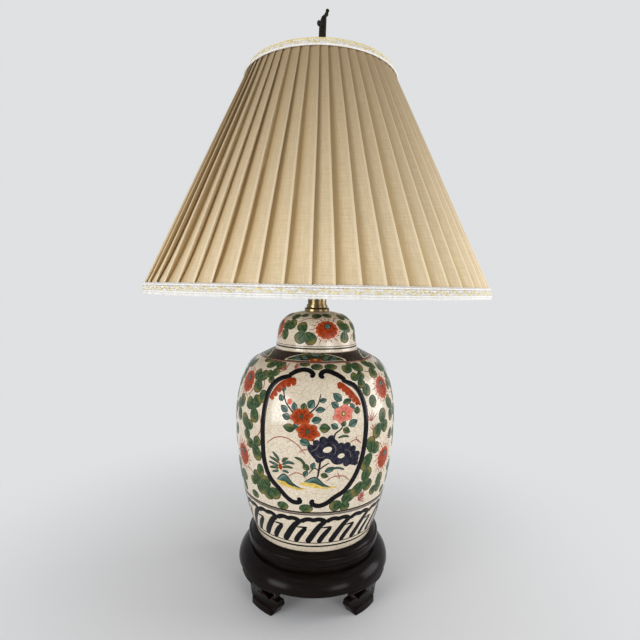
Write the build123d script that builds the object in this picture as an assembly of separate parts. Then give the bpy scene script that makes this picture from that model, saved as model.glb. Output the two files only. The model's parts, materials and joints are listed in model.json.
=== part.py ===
"""Table lamp: a lidded ginger jar on a four-footed wood stand, with a pleated shade carried on a harp.

Millimetres. The origin is on the table, on the lamp's axis. +Z is up and the front faces -Y.
"""
import os
from math import acos, asin, cos, degrees, hypot, pi, radians, sin, sqrt, tan

from build123d import *

# Fits and clearances
RUN_GAP = 0.06          # radial gap of a turning or sliding fit
SEAT_GAP = 0.3          # gap between pieces of different bodies that rest on each other
PASS_GAP = 0.4          # radial gap where the rod passes through a piece
SKIN_GAP = 0.3          # gap between the layers of the shade
WELD_GAP = 0.1          # gap between wires that are brazed on the real frame

# Wood stand
FOOT_HEIGHT = 36.0
FOOT_COUNT = 4
FOOT_FIRST_ANGLE = 45.0
FOOT_SOLE_HALF = 16.8
FOOT_TOE_HALF = 24.8
FOOT_TOE_LOW = 12.0
FOOT_TOE_HIGH = 18.5
FOOT_NOTCH_HALF = 19.5
FOOT_NOTCH_HEIGHT = 21.0
FOOT_ARM_REACH = 33.0
FOOT_ARM_DROP = 1.5
FOOT_ARM_THICK = 2.4
FOOT_DEPTH = 12.5
FOOT_KNEE_ARC = 16.0
FOOT_ANKLE_ARC = 22.0
FOOT_SWEEP = 40.0
SHOE_HEIGHT = 7.5
SHOE_PROUD = 2.0
PIERCE_INNER = 9.5
PIERCE_WAIST = 6.5
PIERCE_TAIL = 7.5
PIERCE_DROP = 2.6
TENON_R = 4.0
TENON_LENGTH = 8.0
DRUM_R = 94.5
DRUM_ARC = 20.0
DRUM_HEIGHT = 19.7
DRUM_LIP = 1.2
DRUM_HOLLOW_R = 62.0
COVE_DEPTH = 3.0
COVE_HEIGHT = 6.7
RIM_R = 82.0
RIM_STEP_R = 79.6
RIM_LOW_HEIGHT = 10.0
RIM_HIGH_HEIGHT = 4.8
RIM_EDGE = 1.6
STAND_SEAT_DROP = 8.5
JAR_FIT = 0.6

# Jar
JAR_R = 98.8
JAR_BELLY_HEIGHT = 150.0
JAR_LOW_ARC = 405.0
JAR_SHOULDER_ARC = 155.0
JAR_SHOULDER_TURN = 20.0
JAR_CORNER_ARC = 36.0
JAR_SLOPE = 64.0
JAR_SEAT_R = 51.5
JAR_NECK_R = 43.0
JAR_NECK_HEIGHT = 11.0
JAR_WALL = 5.0
JAR_FLOOR = 7.0

# Lid
LID_R = 50.6
LID_SIDE_HEIGHT = 22.0
LID_DRAFT = 7.4
LID_CORNER_ARC = 25.0
LID_CORNER_TURN = 73.3
LID_LAND_R = 16.5
LID_WALL = 4.0

# Threaded rod and base hardware
ROD_R = 5.1
ROD_BORE_R = 3.3
ROD_TAIL = 3.0
WASHER_R = 20.0
WASHER_T = 1.6
NUT_FLATS = 17.5
NUT_T = 5.0

# Cord inlet
INLET_R = 3.5
BUSHING_R = 5.0
BUSHING_FLANGE_R = 7.5
BUSHING_FLANGE_T = 2.4
BUSHING_RECESS = 5.0
INLET_HEIGHT = 9.0

# Brass neck
CHECK_RING_R = 15.5
CHECK_RING_T = 4.4
NECK_FLARE_R = 13.0
NECK_FLARE_T = 3.4
NECK_R = 11.6
NECK_HEIGHT = 28.0

# Harp saddle, harp and ferrules
HARP_WIRE_R = 2.0
HARP_FOOT_X = 24.0
HARP_HALF_WIDTH = 54.0
HARP_HEIGHT = 227.2
HARP_LEG = 38.0
HARP_FLARE_RISE = 42.0
HARP_CROWN_DROP = 66.0
HARP_CROWN_HALF = 20.0
HARP_BEND = 22.0
SADDLE_T = 1.6
SADDLE_WIDTH = 15.0
SADDLE_POST = 9.0
FERRULE_WALL = 1.3
FERRULE_LENGTH = 17.0
STUD_R = 3.1
STUD_LENGTH = 13.0
STUD_COLLAR_R = 6.0
STUD_COLLAR_RISE = 7.0

# Socket and switch
SOCKET_R = 17.2
SOCKET_WALL = 0.6
SOCKET_CAP_HEIGHT = 16.0
SOCKET_CAP_FOOT_R = 11.0
SOCKET_CAP_FLOOR = 3.0
SOCKET_SHELL_HEIGHT = 44.0
SLEEVE_WALL = 1.0
SLEEVE_GAP = 0.15
CORE_R = 13.4
CORE_HEIGHT = 24.0
CORE_BASE = 2.0
SCREW_SHELL_WALL = 0.5
SCREW_SHELL_HEIGHT = 22.0
TONGUE_SIZE = 7.0
TONGUE_T = 1.0
TERMINAL_R = 2.6
TERMINAL_T = 1.4
SWITCH_R = 2.4
SWITCH_RISE = 6.0
SWITCH_HOLE_GAP = 0.6
SWITCH_DEPTH = 6.0
SWITCH_REACH = 33.0
KNOB_R = 6.0
KNOB_LENGTH = 13.0
KNOB_FLUTES = 12
KNOB_FLUTE_R = 0.9

# Bulb
BULB_R = 30.0
BULB_NECK_R = 12.4
BULB_NECK_ARC = 60.0
BULB_NECK_RISE = 8.0
BULB_GLASS = 0.8
BULB_CAP_R = 13.0
BULB_CAP_WALL = 0.45
BULB_CAP_HEIGHT = 23.0
BULB_CAP_OVERLAP = 5.0
BULB_TIP_R = 5.0
BULB_TIP_T = 2.6

# Shade
SHADE_BOTTOM_R = 202.4
SHADE_TOP_R = 87.0
SHADE_HEIGHT = 261.2
SHADE_RING_INSET = 4.0
PLEATS = 58
PLEAT_DEPTH_BOTTOM = 4.0
PLEAT_DEPTH_TOP = 2.6
PLEAT_STEP = 0.07
CLOTH_T = 0.8
LINING_T = 0.8
FRAME_WIRE_R = 1.6
RIB_COUNT = 8
SPIDER_ARMS = 3
SPIDER_FIRST_ANGLE = 90.0
SPIDER_R = 11.0
SPIDER_T = 1.6
SPIDER_WIRE_R = 0.8
TRIM_T = 1.6
TRIM_BOTTOM_HEIGHT = 12.0
TRIM_TOP_HEIGHT = 10.0
TRIM_OVERHANG = 1.5

# Finial
FINIAL_BASE_R = 8.5
FINIAL_BASE_HEIGHT = 22.0
FINIAL_BASE_FOOT = 3.0
FINIAL_WAIST_R = 4.6
FINIAL_STEM_R = 4.3
FINIAL_STEM_HEIGHT = 44.2
FINIAL_STEM_SHIFT = 1.2
FINIAL_TIP_R = 3.0
FINIAL_TIP_RISE = 7.4
FINIAL_TIP_SHIFT = 1.4
FINIAL_LEAF_R = 2.4
FINIAL_LEAF_LENGTH = 8.0
FINIAL_LEAF_SINK = 2.0
FINIAL_BEAD_R = 2.5
FINIAL_BEAD_RISE = 2.9
FINIAL_BEAD_SHIFT = 2.7
FINIAL_BALL_R = 2.2
FINIAL_BALL_RISE = 4.2
FINIAL_BALL_SHIFT = 1.2

# Heights worked out from the stack of pieces, table upwards
DRUM_BASE_Z = FOOT_HEIGHT
COVE_Z = DRUM_BASE_Z + DRUM_HEIGHT
RIM_LOW_Z = COVE_Z + COVE_HEIGHT
RIM_HIGH_Z = RIM_LOW_Z + RIM_LOW_HEIGHT
RIM_TOP_Z = RIM_HIGH_Z + RIM_HIGH_HEIGHT
JAR_BASE_Z = RIM_TOP_Z - STAND_SEAT_DROP
PLATE_LOW_Z = COVE_Z
JAR_BELLY_Z = JAR_BASE_Z + JAR_BELLY_HEIGHT
ROD_HOLE_R = ROD_R + PASS_GAP
BASE = (Align.CENTER, Align.CENTER, Align.MIN)


def turned(*outline):
    """Solid of revolution about Z of a closed outline drawn as (radius, height)."""
    return revolve(Plane.XZ * make_face(list(outline)), Axis.Z)


def turned_points(*points):
    """Solid of revolution about Z of a closed outline with straight sides."""
    return turned(Polyline(*points, close=True))


def tube(inner, outer, low, high):
    """Plain ring about Z between two radii and two heights."""
    return turned_points((inner, low), (outer, low), (outer, high), (inner, high))


def rod_between(start, end, radius):
    """Round bar from one point to another."""
    start = Vector(start)
    run = Vector(end) - start
    return Plane(origin=start, z_dir=run) * Cylinder(radius, run.length, align=BASE)


def jar_side(inset):
    """Jar's profile from its belly, set in from the outside: the low arc and the two shoulder arcs."""
    belly = (JAR_R - inset, JAR_BELLY_Z)
    low_z = JAR_BASE_Z + (JAR_FLOOR if inset else 0.0)
    drop = degrees(asin((JAR_BELLY_Z - low_z) / (JAR_LOW_ARC - inset)))
    low = JernArc(belly, (0, -1), JAR_LOW_ARC - inset, -drop)
    shoulder = JernArc(belly, (0, 1), JAR_SHOULDER_ARC - inset, JAR_SHOULDER_TURN)
    corner_turn = JAR_SLOPE - JAR_SHOULDER_TURN
    corner = JernArc(shoulder @ 1, shoulder % 1, JAR_CORNER_ARC - inset, corner_turn)
    return low, shoulder, corner


def cone_height(corner, radius):
    """Height at which the shoulder's cone, going on from its corner arc, reaches a radius."""
    return (corner @ 1).Y + ((corner @ 1).X - radius) / tan(radians(JAR_SLOPE))


OUTER_SIDE = jar_side(0.0)
JAR_FOOT_R = (OUTER_SIDE[0] @ 1).X
LID_BASE_Z = cone_height(OUTER_SIDE[2], JAR_SEAT_R)


def jar_radius_at(z):
    """Outside radius of the jar's lower side at a height."""
    fall = JAR_BELLY_Z - z
    return JAR_R - JAR_LOW_ARC + sqrt(JAR_LOW_ARC**2 - fall**2)


def make_drum():
    """Turned drum of the stand: a ring with a belly arc, sockets for the feet and the cord inlet."""
    lip_r = DRUM_R - DRUM_LIP
    belly_turn = degrees(asin((DRUM_HEIGHT - DRUM_LIP) / DRUM_ARC))
    lip = JernArc((lip_r, DRUM_BASE_Z), (1, 0), DRUM_LIP, 90)
    belly = JernArc(lip @ 1, (0, 1), DRUM_ARC, belly_turn)
    rest = Polyline(
        belly @ 1,
        (DRUM_HOLLOW_R, COVE_Z),
        (DRUM_HOLLOW_R, DRUM_BASE_Z),
        (lip_r, DRUM_BASE_Z),
    )
    body = turned(lip, belly, *rest.edges())
    for angle in foot_angles():
        socket = Cylinder(TENON_R + RUN_GAP, TENON_LENGTH + WELD_GAP, align=BASE)
        body -= Rot(Z=angle) * Pos(tenon_place(), 0, DRUM_BASE_Z) * socket
    bore = inlet_plane(0.0) * Cylinder(BUSHING_R + RUN_GAP, DRUM_R, align=BASE)
    spot_face = inlet_plane(inlet_seat()) * Cylinder(BUSHING_FLANGE_R + PASS_GAP, DRUM_R, align=BASE)
    return body - bore - spot_face


def make_rim():
    """Turned top of the stand on the drum: a cove, a two-step rim and the plate that the jar sits on."""
    cove_r = RIM_R - COVE_DEPTH
    cove = Polyline((cove_r, COVE_Z), (cove_r, RIM_LOW_Z), (RIM_R - RIM_EDGE, RIM_LOW_Z))
    low_edge = JernArc(cove @ 1, (1, 0), RIM_EDGE, 90)
    low_step = Line(low_edge @ 1, (RIM_R, RIM_HIGH_Z - RIM_EDGE))
    high_edge = JernArc(low_step @ 1, (0, 1), RIM_EDGE, 90)
    step = Line(high_edge @ 1, (RIM_STEP_R, RIM_HIGH_Z))
    crest_r = jar_radius_at(RIM_TOP_Z) + JAR_FIT
    crest = RadiusArc(step @ 1, (crest_r, RIM_TOP_Z), -(RIM_STEP_R - crest_r + RIM_HIGH_HEIGHT))
    inside = Polyline(
        (crest_r, RIM_TOP_Z),
        (JAR_FOOT_R + JAR_FIT, JAR_BASE_Z),
        (ROD_HOLE_R, JAR_BASE_Z),
        (ROD_HOLE_R, PLATE_LOW_Z),
        (cove_r, PLATE_LOW_Z),
    )
    return turned(*cove.edges(), low_edge, low_step, high_edge, step, crest, *inside.edges())


def foot_angles():
    """Directions of the feet about Z: front left, front right, rear right, rear left."""
    turn = 360.0 / FOOT_COUNT
    return [180.0 + FOOT_FIRST_ANGLE + turn * i for i in range(FOOT_COUNT)]


def tenon_place():
    """Radius of the tenon that joins each foot to the drum."""
    return DRUM_R - FOOT_DEPTH / 2


def foot_side():
    """Foot's outside line from the drum's belly to the ankle: a knee arc, then an ankle arc."""
    knee = JernArc((DRUM_R, FOOT_HEIGHT), (0, -1), FOOT_KNEE_ARC, -FOOT_SWEEP)
    ankle = JernArc(knee @ 1, knee % 1, FOOT_ANKLE_ARC, FOOT_SWEEP)
    return knee, ankle


def make_foot():
    """Pierced bracket foot along +X: a swept ring cut to an outline with toes and arms, with a proud shoe."""
    knee, ankle = foot_side()
    sole_r = (ankle @ 1).X
    arm_z = FOOT_HEIGHT - FOOT_ARM_DROP
    pierce_z = FOOT_HEIGHT - PIERCE_DROP
    arm = Vector(FOOT_ARM_REACH - FOOT_NOTCH_HALF, arm_z - FOOT_NOTCH_HEIGHT).normalized()
    arm_low = Vector(FOOT_NOTCH_HALF, FOOT_NOTCH_HEIGHT) + FOOT_ARM_THICK * Vector(-arm.Y, arm.X)
    arm_high = arm_low + (pierce_z - arm_low.Y) / arm.Y * arm
    tail = arm_low - PIERCE_TAIL * arm
    ring = turned(
        knee,
        ankle,
        *Polyline(
            ankle @ 1,
            (sole_r, 0),
            (sole_r - FOOT_DEPTH, 0),
            (DRUM_R - FOOT_DEPTH, FOOT_HEIGHT),
            (DRUM_R, FOOT_HEIGHT),
        ).edges(),
    )
    flank = [
        (FOOT_SOLE_HALF, 0),
        (FOOT_TOE_HALF, FOOT_TOE_LOW),
        (FOOT_TOE_HALF, FOOT_TOE_HIGH),
        (FOOT_NOTCH_HALF, FOOT_NOTCH_HEIGHT),
        (FOOT_ARM_REACH, arm_z),
        (FOOT_ARM_REACH, FOOT_HEIGHT),
    ]
    outline = Polyline(*flank, *[(-across, up) for across, up in reversed(flank)], close=True)
    foot = ring & extrude(Plane.YZ * make_face(outline), DRUM_R + SHOE_PROUD)
    for side in (-1, 1):
        pierced = Polyline(
            (side * tail.X, tail.Y),
            (side * PIERCE_WAIST, (tail.Y + pierce_z) / 2),
            (side * PIERCE_INNER, pierce_z),
            (side * arm_high.X, pierce_z),
            close=True,
        )
        foot -= extrude(Plane.YZ * make_face(pierced), DRUM_R, dir=(1, 0, 0))
    shoe_ring = tube(sole_r - FOOT_DEPTH, sole_r + SHOE_PROUD, 0, SHOE_HEIGHT)
    shoe_block = Box(2 * (FOOT_DEPTH + SHOE_PROUD), 2 * FOOT_SOLE_HALF, SHOE_HEIGHT, align=BASE)
    foot += shoe_ring & Pos(sole_r, 0, 0) * shoe_block
    tenon = Pos(tenon_place(), 0, FOOT_HEIGHT) * Cylinder(TENON_R, TENON_LENGTH, align=BASE)
    return foot + tenon


def inlet_plane(reach):
    """Plane square to the cord inlet, a distance behind the lamp's axis."""
    return Plane(origin=(0, reach, DRUM_BASE_Z + INLET_HEIGHT), z_dir=(0, 1, 0))


def inlet_seat():
    """Distance behind the axis of the flat that the bushing's flange seats on."""
    return DRUM_R - BUSHING_FLANGE_T - BUSHING_RECESS


def make_bushing():
    """Flanged tube that lines the cord inlet."""
    start = DRUM_HOLLOW_R
    body = inlet_plane(start) * Cylinder(BUSHING_R, inlet_seat() - start, align=BASE)
    body += inlet_plane(inlet_seat()) * Cylinder(BUSHING_FLANGE_R, BUSHING_FLANGE_T, align=BASE)
    return body - inlet_plane(0.0) * Cylinder(INLET_R, 2 * DRUM_R, align=BASE)


def make_jar():
    """Hollow jar: foot, belly, sloping shoulder with a flat seat for the lid, and a short neck."""
    low, shoulder, corner = OUTER_SIDE
    in_low, in_shoulder, in_corner = jar_side(JAR_WALL)
    mouth_r = JAR_NECK_R - JAR_WALL
    neck_z = LID_BASE_Z + JAR_NECK_HEIGHT
    floor_z = JAR_BASE_Z + JAR_FLOOR
    top = Polyline(
        corner @ 1,
        (JAR_SEAT_R, LID_BASE_Z),
        (JAR_NECK_R, LID_BASE_Z),
        (JAR_NECK_R, neck_z),
        (mouth_r, neck_z),
        (mouth_r, cone_height(in_corner, mouth_r)),
        in_corner @ 1,
    )
    floor = Polyline(
        in_low @ 1,
        (ROD_HOLE_R, floor_z),
        (ROD_HOLE_R, JAR_BASE_Z),
        low @ 1,
    )
    return turned(low, shoulder, corner, *top.edges(), in_corner, in_shoulder, in_low, *floor.edges())


def lid_side(inset):
    """Lid's profile upwards from its rim: a drafted side, a corner arc and a crown arc to the axis."""
    draft, turn = radians(LID_DRAFT), LID_CORNER_TURN - LID_DRAFT
    side_r = LID_R - LID_SIDE_HEIGHT * tan(draft)
    top_z = LID_BASE_Z + LID_SIDE_HEIGHT
    start = (side_r - inset * cos(draft), top_z - inset * sin(draft))
    corner = JernArc(start, (-sin(draft), cos(draft)), LID_CORNER_ARC - inset, turn)
    crown_r = (corner @ 1).X / cos(radians(LID_CORNER_TURN))
    crown = JernArc(corner @ 1, corner % 1, crown_r, 90 - LID_CORNER_TURN)
    return start, corner, crown


def lid_land_z():
    """Height of the flat land on the lid's crown, where the check ring sits."""
    crown = lid_side(0.0)[2]
    crown_r = (crown @ 0).X / cos(radians(LID_CORNER_TURN))
    return (crown @ 1).Y - crown_r + sqrt(crown_r**2 - LID_LAND_R**2)


NECK_BASE_Z = lid_land_z()
SADDLE_Z = NECK_BASE_Z + CHECK_RING_T + NECK_HEIGHT
SOCKET_Z = SADDLE_Z + SADDLE_T
SHELL_Z = SOCKET_Z + SOCKET_CAP_HEIGHT
CORE_Z = SOCKET_Z + SOCKET_CAP_FLOOR + CORE_BASE
CORE_TOP_Z = CORE_Z + CORE_HEIGHT
SWITCH_Z = SHELL_Z + SWITCH_RISE
BULB_TIP_Z = CORE_TOP_Z + TONGUE_T + SEAT_GAP
HARP_FOOT_Z = SOCKET_Z + SADDLE_POST
HARP_TOP_Z = HARP_FOOT_Z + HARP_HEIGHT
SPIDER_LOW_Z = HARP_TOP_Z + STUD_COLLAR_RISE + SEAT_GAP
SPIDER_MID_Z = SPIDER_LOW_Z + SPIDER_T / 2
SHADE_TOP_Z = SPIDER_MID_Z + SHADE_RING_INSET
SHADE_LOW_Z = SHADE_TOP_Z - SHADE_HEIGHT
FINIAL_Z = SPIDER_LOW_Z + SPIDER_T + SEAT_GAP


def make_lid():
    """Domed lid with a hollow inside and a flat land on its crown."""
    start, corner, crown = lid_side(0.0)
    in_start, in_corner, in_crown = lid_side(LID_WALL)
    in_rim_r = LID_R - LID_WALL / cos(radians(LID_DRAFT))
    rim = Polyline(in_start, (in_rim_r, LID_BASE_Z), (LID_R, LID_BASE_Z), start)
    dome = turned(*rim.edges(), corner, crown, Line(crown @ 1, in_crown @ 1), in_crown, in_corner)
    land = tube(0, LID_R, NECK_BASE_Z, SADDLE_Z)
    rod_hole = tube(0, ROD_HOLE_R, LID_BASE_Z, SADDLE_Z)
    return dome - land - rod_hole


def make_rod():
    """Threaded pipe from below the nut, up through stand, jar, lid and neck into the socket cap."""
    low_z = PLATE_LOW_Z - WASHER_T - NUT_T - ROD_TAIL
    return tube(ROD_BORE_R, ROD_R, low_z, SOCKET_Z + SOCKET_CAP_FLOOR)


def make_washer():
    """Plain washer under the stand's plate."""
    return tube(ROD_R + RUN_GAP, WASHER_R, PLATE_LOW_Z - WASHER_T, PLATE_LOW_Z)


def make_nut():
    """Hexagon nut under the washer."""
    prism = extrude(RegularPolygon(NUT_FLATS / 2, 6, major_radius=False), NUT_T)
    bore = Cylinder(ROD_R + RUN_GAP, NUT_T, align=BASE)
    return Pos(0, 0, PLATE_LOW_Z - WASHER_T - NUT_T) * (prism - bore)


def make_check_ring():
    """Turned brass flange on the lid's land, with a rounded shoulder."""
    round_r = CHECK_RING_T / 2
    low, high = NECK_BASE_Z, NECK_BASE_Z + CHECK_RING_T
    edge = JernArc((CHECK_RING_R, high - round_r), (0, 1), round_r, 90)
    rest = Polyline(edge @ 1, (ROD_HOLE_R, high), (ROD_HOLE_R, low), (CHECK_RING_R, low), edge @ 0)
    return turned(edge, *rest.edges())


def make_neck():
    """Brass spacer: a flared foot ring below a plain round neck."""
    low = NECK_BASE_Z + CHECK_RING_T
    return turned_points(
        (ROD_HOLE_R, low),
        (NECK_FLARE_R, low),
        (NECK_FLARE_R, low + NECK_FLARE_T),
        (NECK_R, low + NECK_FLARE_T),
        (NECK_R, SADDLE_Z),
        (ROD_HOLE_R, SADDLE_Z),
    )


def make_saddle():
    """Flat strap under the socket with a round post at each end for the harp."""
    half = HARP_FOOT_X + HARP_WIRE_R + FERRULE_WALL
    strap = Pos(0, 0, SADDLE_Z) * Box(2 * half, SADDLE_WIDTH, SADDLE_T, align=BASE)
    strap -= Pos(0, 0, SADDLE_Z) * Cylinder(ROD_HOLE_R, SADDLE_T, align=BASE)
    for side in (-1, 1):
        strap += Pos(side * HARP_FOOT_X, 0, SOCKET_Z) * Cylinder(HARP_WIRE_R, SADDLE_POST, align=BASE)
    return strap


def make_harp():
    """Wire loop in the XZ plane: straight legs, a flare round the bulb and a flat crown."""
    flare_z = HARP_FOOT_Z + HARP_LEG
    wide_z = flare_z + HARP_FLARE_RISE
    crown_z = HARP_TOP_Z - HARP_CROWN_DROP
    half = [
        (HARP_FOOT_X, HARP_FOOT_Z),
        (HARP_FOOT_X, flare_z),
        (HARP_HALF_WIDTH, wide_z),
        (HARP_HALF_WIDTH, crown_z),
        (HARP_CROWN_HALF, HARP_TOP_Z),
    ]
    points = [(-x, 0, z) for x, z in half] + [(x, 0, z) for x, z in reversed(half)]
    path = FilletPolyline(*points, radius=HARP_BEND)
    section = Plane(origin=points[0], z_dir=(0, 0, 1)) * Circle(HARP_WIRE_R)
    return sweep(section, path)


def make_stud():
    """Collar crimped round the harp's crown, with the threaded stud that carries shade and finial."""
    low_z = HARP_TOP_Z - STUD_COLLAR_R
    top_z = SPIDER_LOW_Z - SEAT_GAP
    collar = Pos(0, 0, low_z) * Cylinder(STUD_COLLAR_R, top_z - low_z, align=BASE)
    collar += Pos(0, 0, top_z) * Cylinder(STUD_R, STUD_LENGTH, align=BASE)
    crown_plane = Plane(origin=(0, 0, HARP_TOP_Z), z_dir=(1, 0, 0))
    return collar - crown_plane * Cylinder(HARP_WIRE_R + RUN_GAP, 2 * HARP_CROWN_HALF)


def make_ferrule(side):
    """Sleeve that slides on the harp's leg and locks it to the saddle's post."""
    bore = HARP_WIRE_R + RUN_GAP
    low = SOCKET_Z + SEAT_GAP
    sleeve = tube(bore, bore + FERRULE_WALL, low, low + FERRULE_LENGTH)
    return Pos(side * HARP_FOOT_X, 0, 0) * sleeve


def switch_bar(radius, start, length):
    """Round bar along the switch's axis, which points to the front."""
    plane = Plane(origin=(0, -start, SWITCH_Z), z_dir=(0, -1, 0))
    return plane * Cylinder(radius, length, align=BASE)


def switch_hole():
    """Hole for the switch shaft through the socket's walls."""
    return switch_bar(SWITCH_R + SWITCH_HOLE_GAP, CORE_R, SOCKET_R)


def make_socket_cap():
    """Brass cup under the socket, on the rod's end."""
    floor_z = SOCKET_Z + SOCKET_CAP_FLOOR
    inner_r = SOCKET_R - SOCKET_WALL
    return turned_points(
        (ROD_R + RUN_GAP, SOCKET_Z),
        (SOCKET_CAP_FOOT_R, SOCKET_Z),
        (SOCKET_R, floor_z + CORE_BASE),
        (SOCKET_R, SHELL_Z),
        (inner_r, SHELL_Z),
        (inner_r, floor_z + CORE_BASE),
        (SOCKET_CAP_FOOT_R - SOCKET_WALL, floor_z),
        (ROD_R + RUN_GAP, floor_z),
    )


def make_socket_shell():
    """Brass tube round the socket, standing on the cap's edge."""
    shell = tube(SOCKET_R - SOCKET_WALL, SOCKET_R, SHELL_Z, SHELL_Z + SOCKET_SHELL_HEIGHT)
    return shell - switch_hole()


SLEEVE_R = SOCKET_R - SOCKET_WALL - SLEEVE_GAP


def make_sleeve():
    """Insulating card sleeve inside the shell."""
    sleeve = tube(SLEEVE_R - SLEEVE_WALL, SLEEVE_R, CORE_Z, SHELL_Z + SOCKET_SHELL_HEIGHT)
    return sleeve - switch_hole()


def make_core():
    """Moulded inside of the socket, with the switch bore and a flat for each terminal screw."""
    core = tube(0, CORE_R, CORE_Z, CORE_TOP_Z)
    core += tube(0, SLEEVE_R - SLEEVE_WALL - SLEEVE_GAP, CORE_Z, CORE_Z + CORE_BASE)
    core -= switch_bar(SWITCH_R + RUN_GAP, CORE_R - SWITCH_DEPTH - SEAT_GAP, SOCKET_R)
    core -= tube(0, ROD_R, CORE_Z, CORE_Z + CORE_BASE)
    for side in (-1, 1):
        flat = Pos(side * (CORE_R + TERMINAL_R - TERMINAL_T), 0, CORE_Z + CORE_BASE)
        core -= flat * Box(2 * TERMINAL_R, 2 * CORE_R, 2 * TERMINAL_R + CORE_BASE, align=BASE)
    return core


def make_terminals():
    """Pair of terminal screws, one on each flat of the core."""
    heads = []
    for side in (-1, 1):
        place = Plane(
            origin=(side * (CORE_R - TERMINAL_T), 0, CORE_Z + CORE_BASE + TERMINAL_R + WELD_GAP),
            z_dir=(side, 0, 0),
        )
        heads.append(place * Cylinder(TERMINAL_R, TERMINAL_T, align=BASE))
    return Compound(children=heads)


def make_screw_shell():
    """Screw shell that the bulb's cap turns in."""
    bore = BULB_CAP_R + RUN_GAP
    return tube(bore, bore + SCREW_SHELL_WALL, CORE_TOP_Z, CORE_TOP_Z + SCREW_SHELL_HEIGHT)


def make_tongue():
    """Centre contact on the core's top."""
    return Pos(0, 0, CORE_TOP_Z) * Box(TONGUE_SIZE, TONGUE_SIZE, TONGUE_T, align=BASE)


def make_switch_shaft():
    """Shaft of the turn switch, from the core out through the shell."""
    start = CORE_R - SWITCH_DEPTH
    return switch_bar(SWITCH_R, start, SWITCH_REACH - start)


def make_switch_knob():
    """Fluted knob on the end of the switch shaft."""
    knob = switch_bar(KNOB_R, SWITCH_REACH, KNOB_LENGTH)
    flute = switch_bar(KNOB_FLUTE_R, SWITCH_REACH, KNOB_LENGTH)
    axis = Axis((0, 0, SWITCH_Z), (0, -1, 0))
    for i in range(KNOB_FLUTES):
        knob -= (Pos(KNOB_R, 0, 0) * flute).rotate(axis, 360.0 * i / KNOB_FLUTES)
    return knob


def bulb_side(inset):
    """Bulb's profile upwards: a straight neck, a hollow arc and a round top to the axis."""
    neck_arc, top_r = BULB_NECK_ARC + inset, BULB_R - inset
    neck_r = BULB_NECK_R - inset
    turn = degrees(acos((neck_r + neck_arc) / (top_r + neck_arc)))
    cap_top = BULB_TIP_Z + BULB_TIP_T + BULB_CAP_HEIGHT
    neck = Line((neck_r, cap_top - BULB_CAP_OVERLAP), (neck_r, cap_top + BULB_NECK_RISE))
    flare = JernArc(neck @ 1, (0, 1), neck_arc, -turn)
    top = JernArc(flare @ 1, flare % 1, top_r, 90 + turn)
    return neck, flare, top


def make_bulb_glass():
    """Glass envelope of the bulb."""
    neck, flare, top = bulb_side(0.0)
    in_neck, in_flare, in_top = bulb_side(BULB_GLASS)
    ends = Line(top @ 1, in_top @ 1), Line(in_neck @ 0, neck @ 0)
    return turned(neck, flare, top, ends[0], in_top, in_flare, in_neck, ends[1])


def make_bulb_cap():
    """Screw cap of the bulb, closed by a floor below."""
    low = BULB_TIP_Z + BULB_TIP_T
    bore = BULB_CAP_R - BULB_CAP_WALL
    return turned_points(
        (0, low),
        (BULB_CAP_R, low),
        (BULB_CAP_R, low + BULB_CAP_HEIGHT),
        (bore, low + BULB_CAP_HEIGHT),
        (bore, low + BULB_CAP_WALL),
        (0, low + BULB_CAP_WALL),
    )


def make_bulb_tip():
    """Contact button under the bulb's cap."""
    return tube(0, BULB_TIP_R, BULB_TIP_Z, BULB_TIP_Z + BULB_TIP_T)


def cone_r(z, depth=0.0):
    """Radius of the shade's outside cone at a height, less a depth."""
    share = (z - SHADE_LOW_Z) / SHADE_HEIGHT
    return SHADE_BOTTOM_R + (SHADE_TOP_R - SHADE_BOTTOM_R) * share - depth


SHADE_LEAN = acos(SHADE_HEIGHT / hypot(SHADE_HEIGHT, SHADE_BOTTOM_R - SHADE_TOP_R))
LINING_DEPTH = PLEAT_DEPTH_BOTTOM + CLOTH_T + SKIN_GAP
WIRE_DEPTH = LINING_DEPTH + LINING_T + SKIN_GAP + FRAME_WIRE_R / cos(SHADE_LEAN)


def pleat_wire(z, depth, inset):
    """Closed saw-tooth line at a height: each pleat rises to its right edge, then steps back."""
    outer = cone_r(z) - inset
    turn = 2 * pi / PLEATS
    back = inset / outer
    points = []
    for i in range(PLEATS):
        low, high = turn * i - back, turn * (i + 1 - PLEAT_STEP) - back
        points.append(((outer - depth) * cos(low), (outer - depth) * sin(low), z))
        points.append((outer * cos(high), outer * sin(high), z))
    return Wire.make_polygon([Vector(*p) for p in points], close=True)


def make_pleats():
    """Knife-pleated cloth: a saw-tooth cone less the same cone set in by the cloth's thickness."""
    levels = (SHADE_LOW_Z, PLEAT_DEPTH_BOTTOM), (SHADE_TOP_Z, PLEAT_DEPTH_TOP)
    cones = []
    for inset in (0.0, CLOTH_T):
        cones.append(Solid.make_loft([pleat_wire(z, depth, inset) for z, depth in levels], ruled=True))
    return cones[0] - cones[1]


def cone_shell(low, high, outer_depth, inner_depth):
    """Band parallel to the shade's cone between two depths."""
    return turned_points(
        (cone_r(low, inner_depth), low),
        (cone_r(low, outer_depth), low),
        (cone_r(high, outer_depth), high),
        (cone_r(high, inner_depth), high),
    )


def make_lining():
    """Plain lining inside the pleats."""
    return cone_shell(SHADE_LOW_Z, SHADE_TOP_Z, LINING_DEPTH, LINING_DEPTH + LINING_T)


def make_trim(low, height):
    """Band of trim round the outside of the pleats."""
    return cone_shell(low, low + height, -SKIN_GAP - TRIM_T, -SKIN_GAP)


RING_LOW_Z = SHADE_LOW_Z + SHADE_RING_INSET
RING_TOP_Z = SPIDER_MID_Z


def ring_r(z):
    """Radius of a frame ring's wire centre at a height."""
    return cone_r(z, WIRE_DEPTH)


def make_ring(z):
    """Wire ring of the shade's frame."""
    return Pos(0, 0, z) * Torus(ring_r(z), FRAME_WIRE_R)


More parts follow.
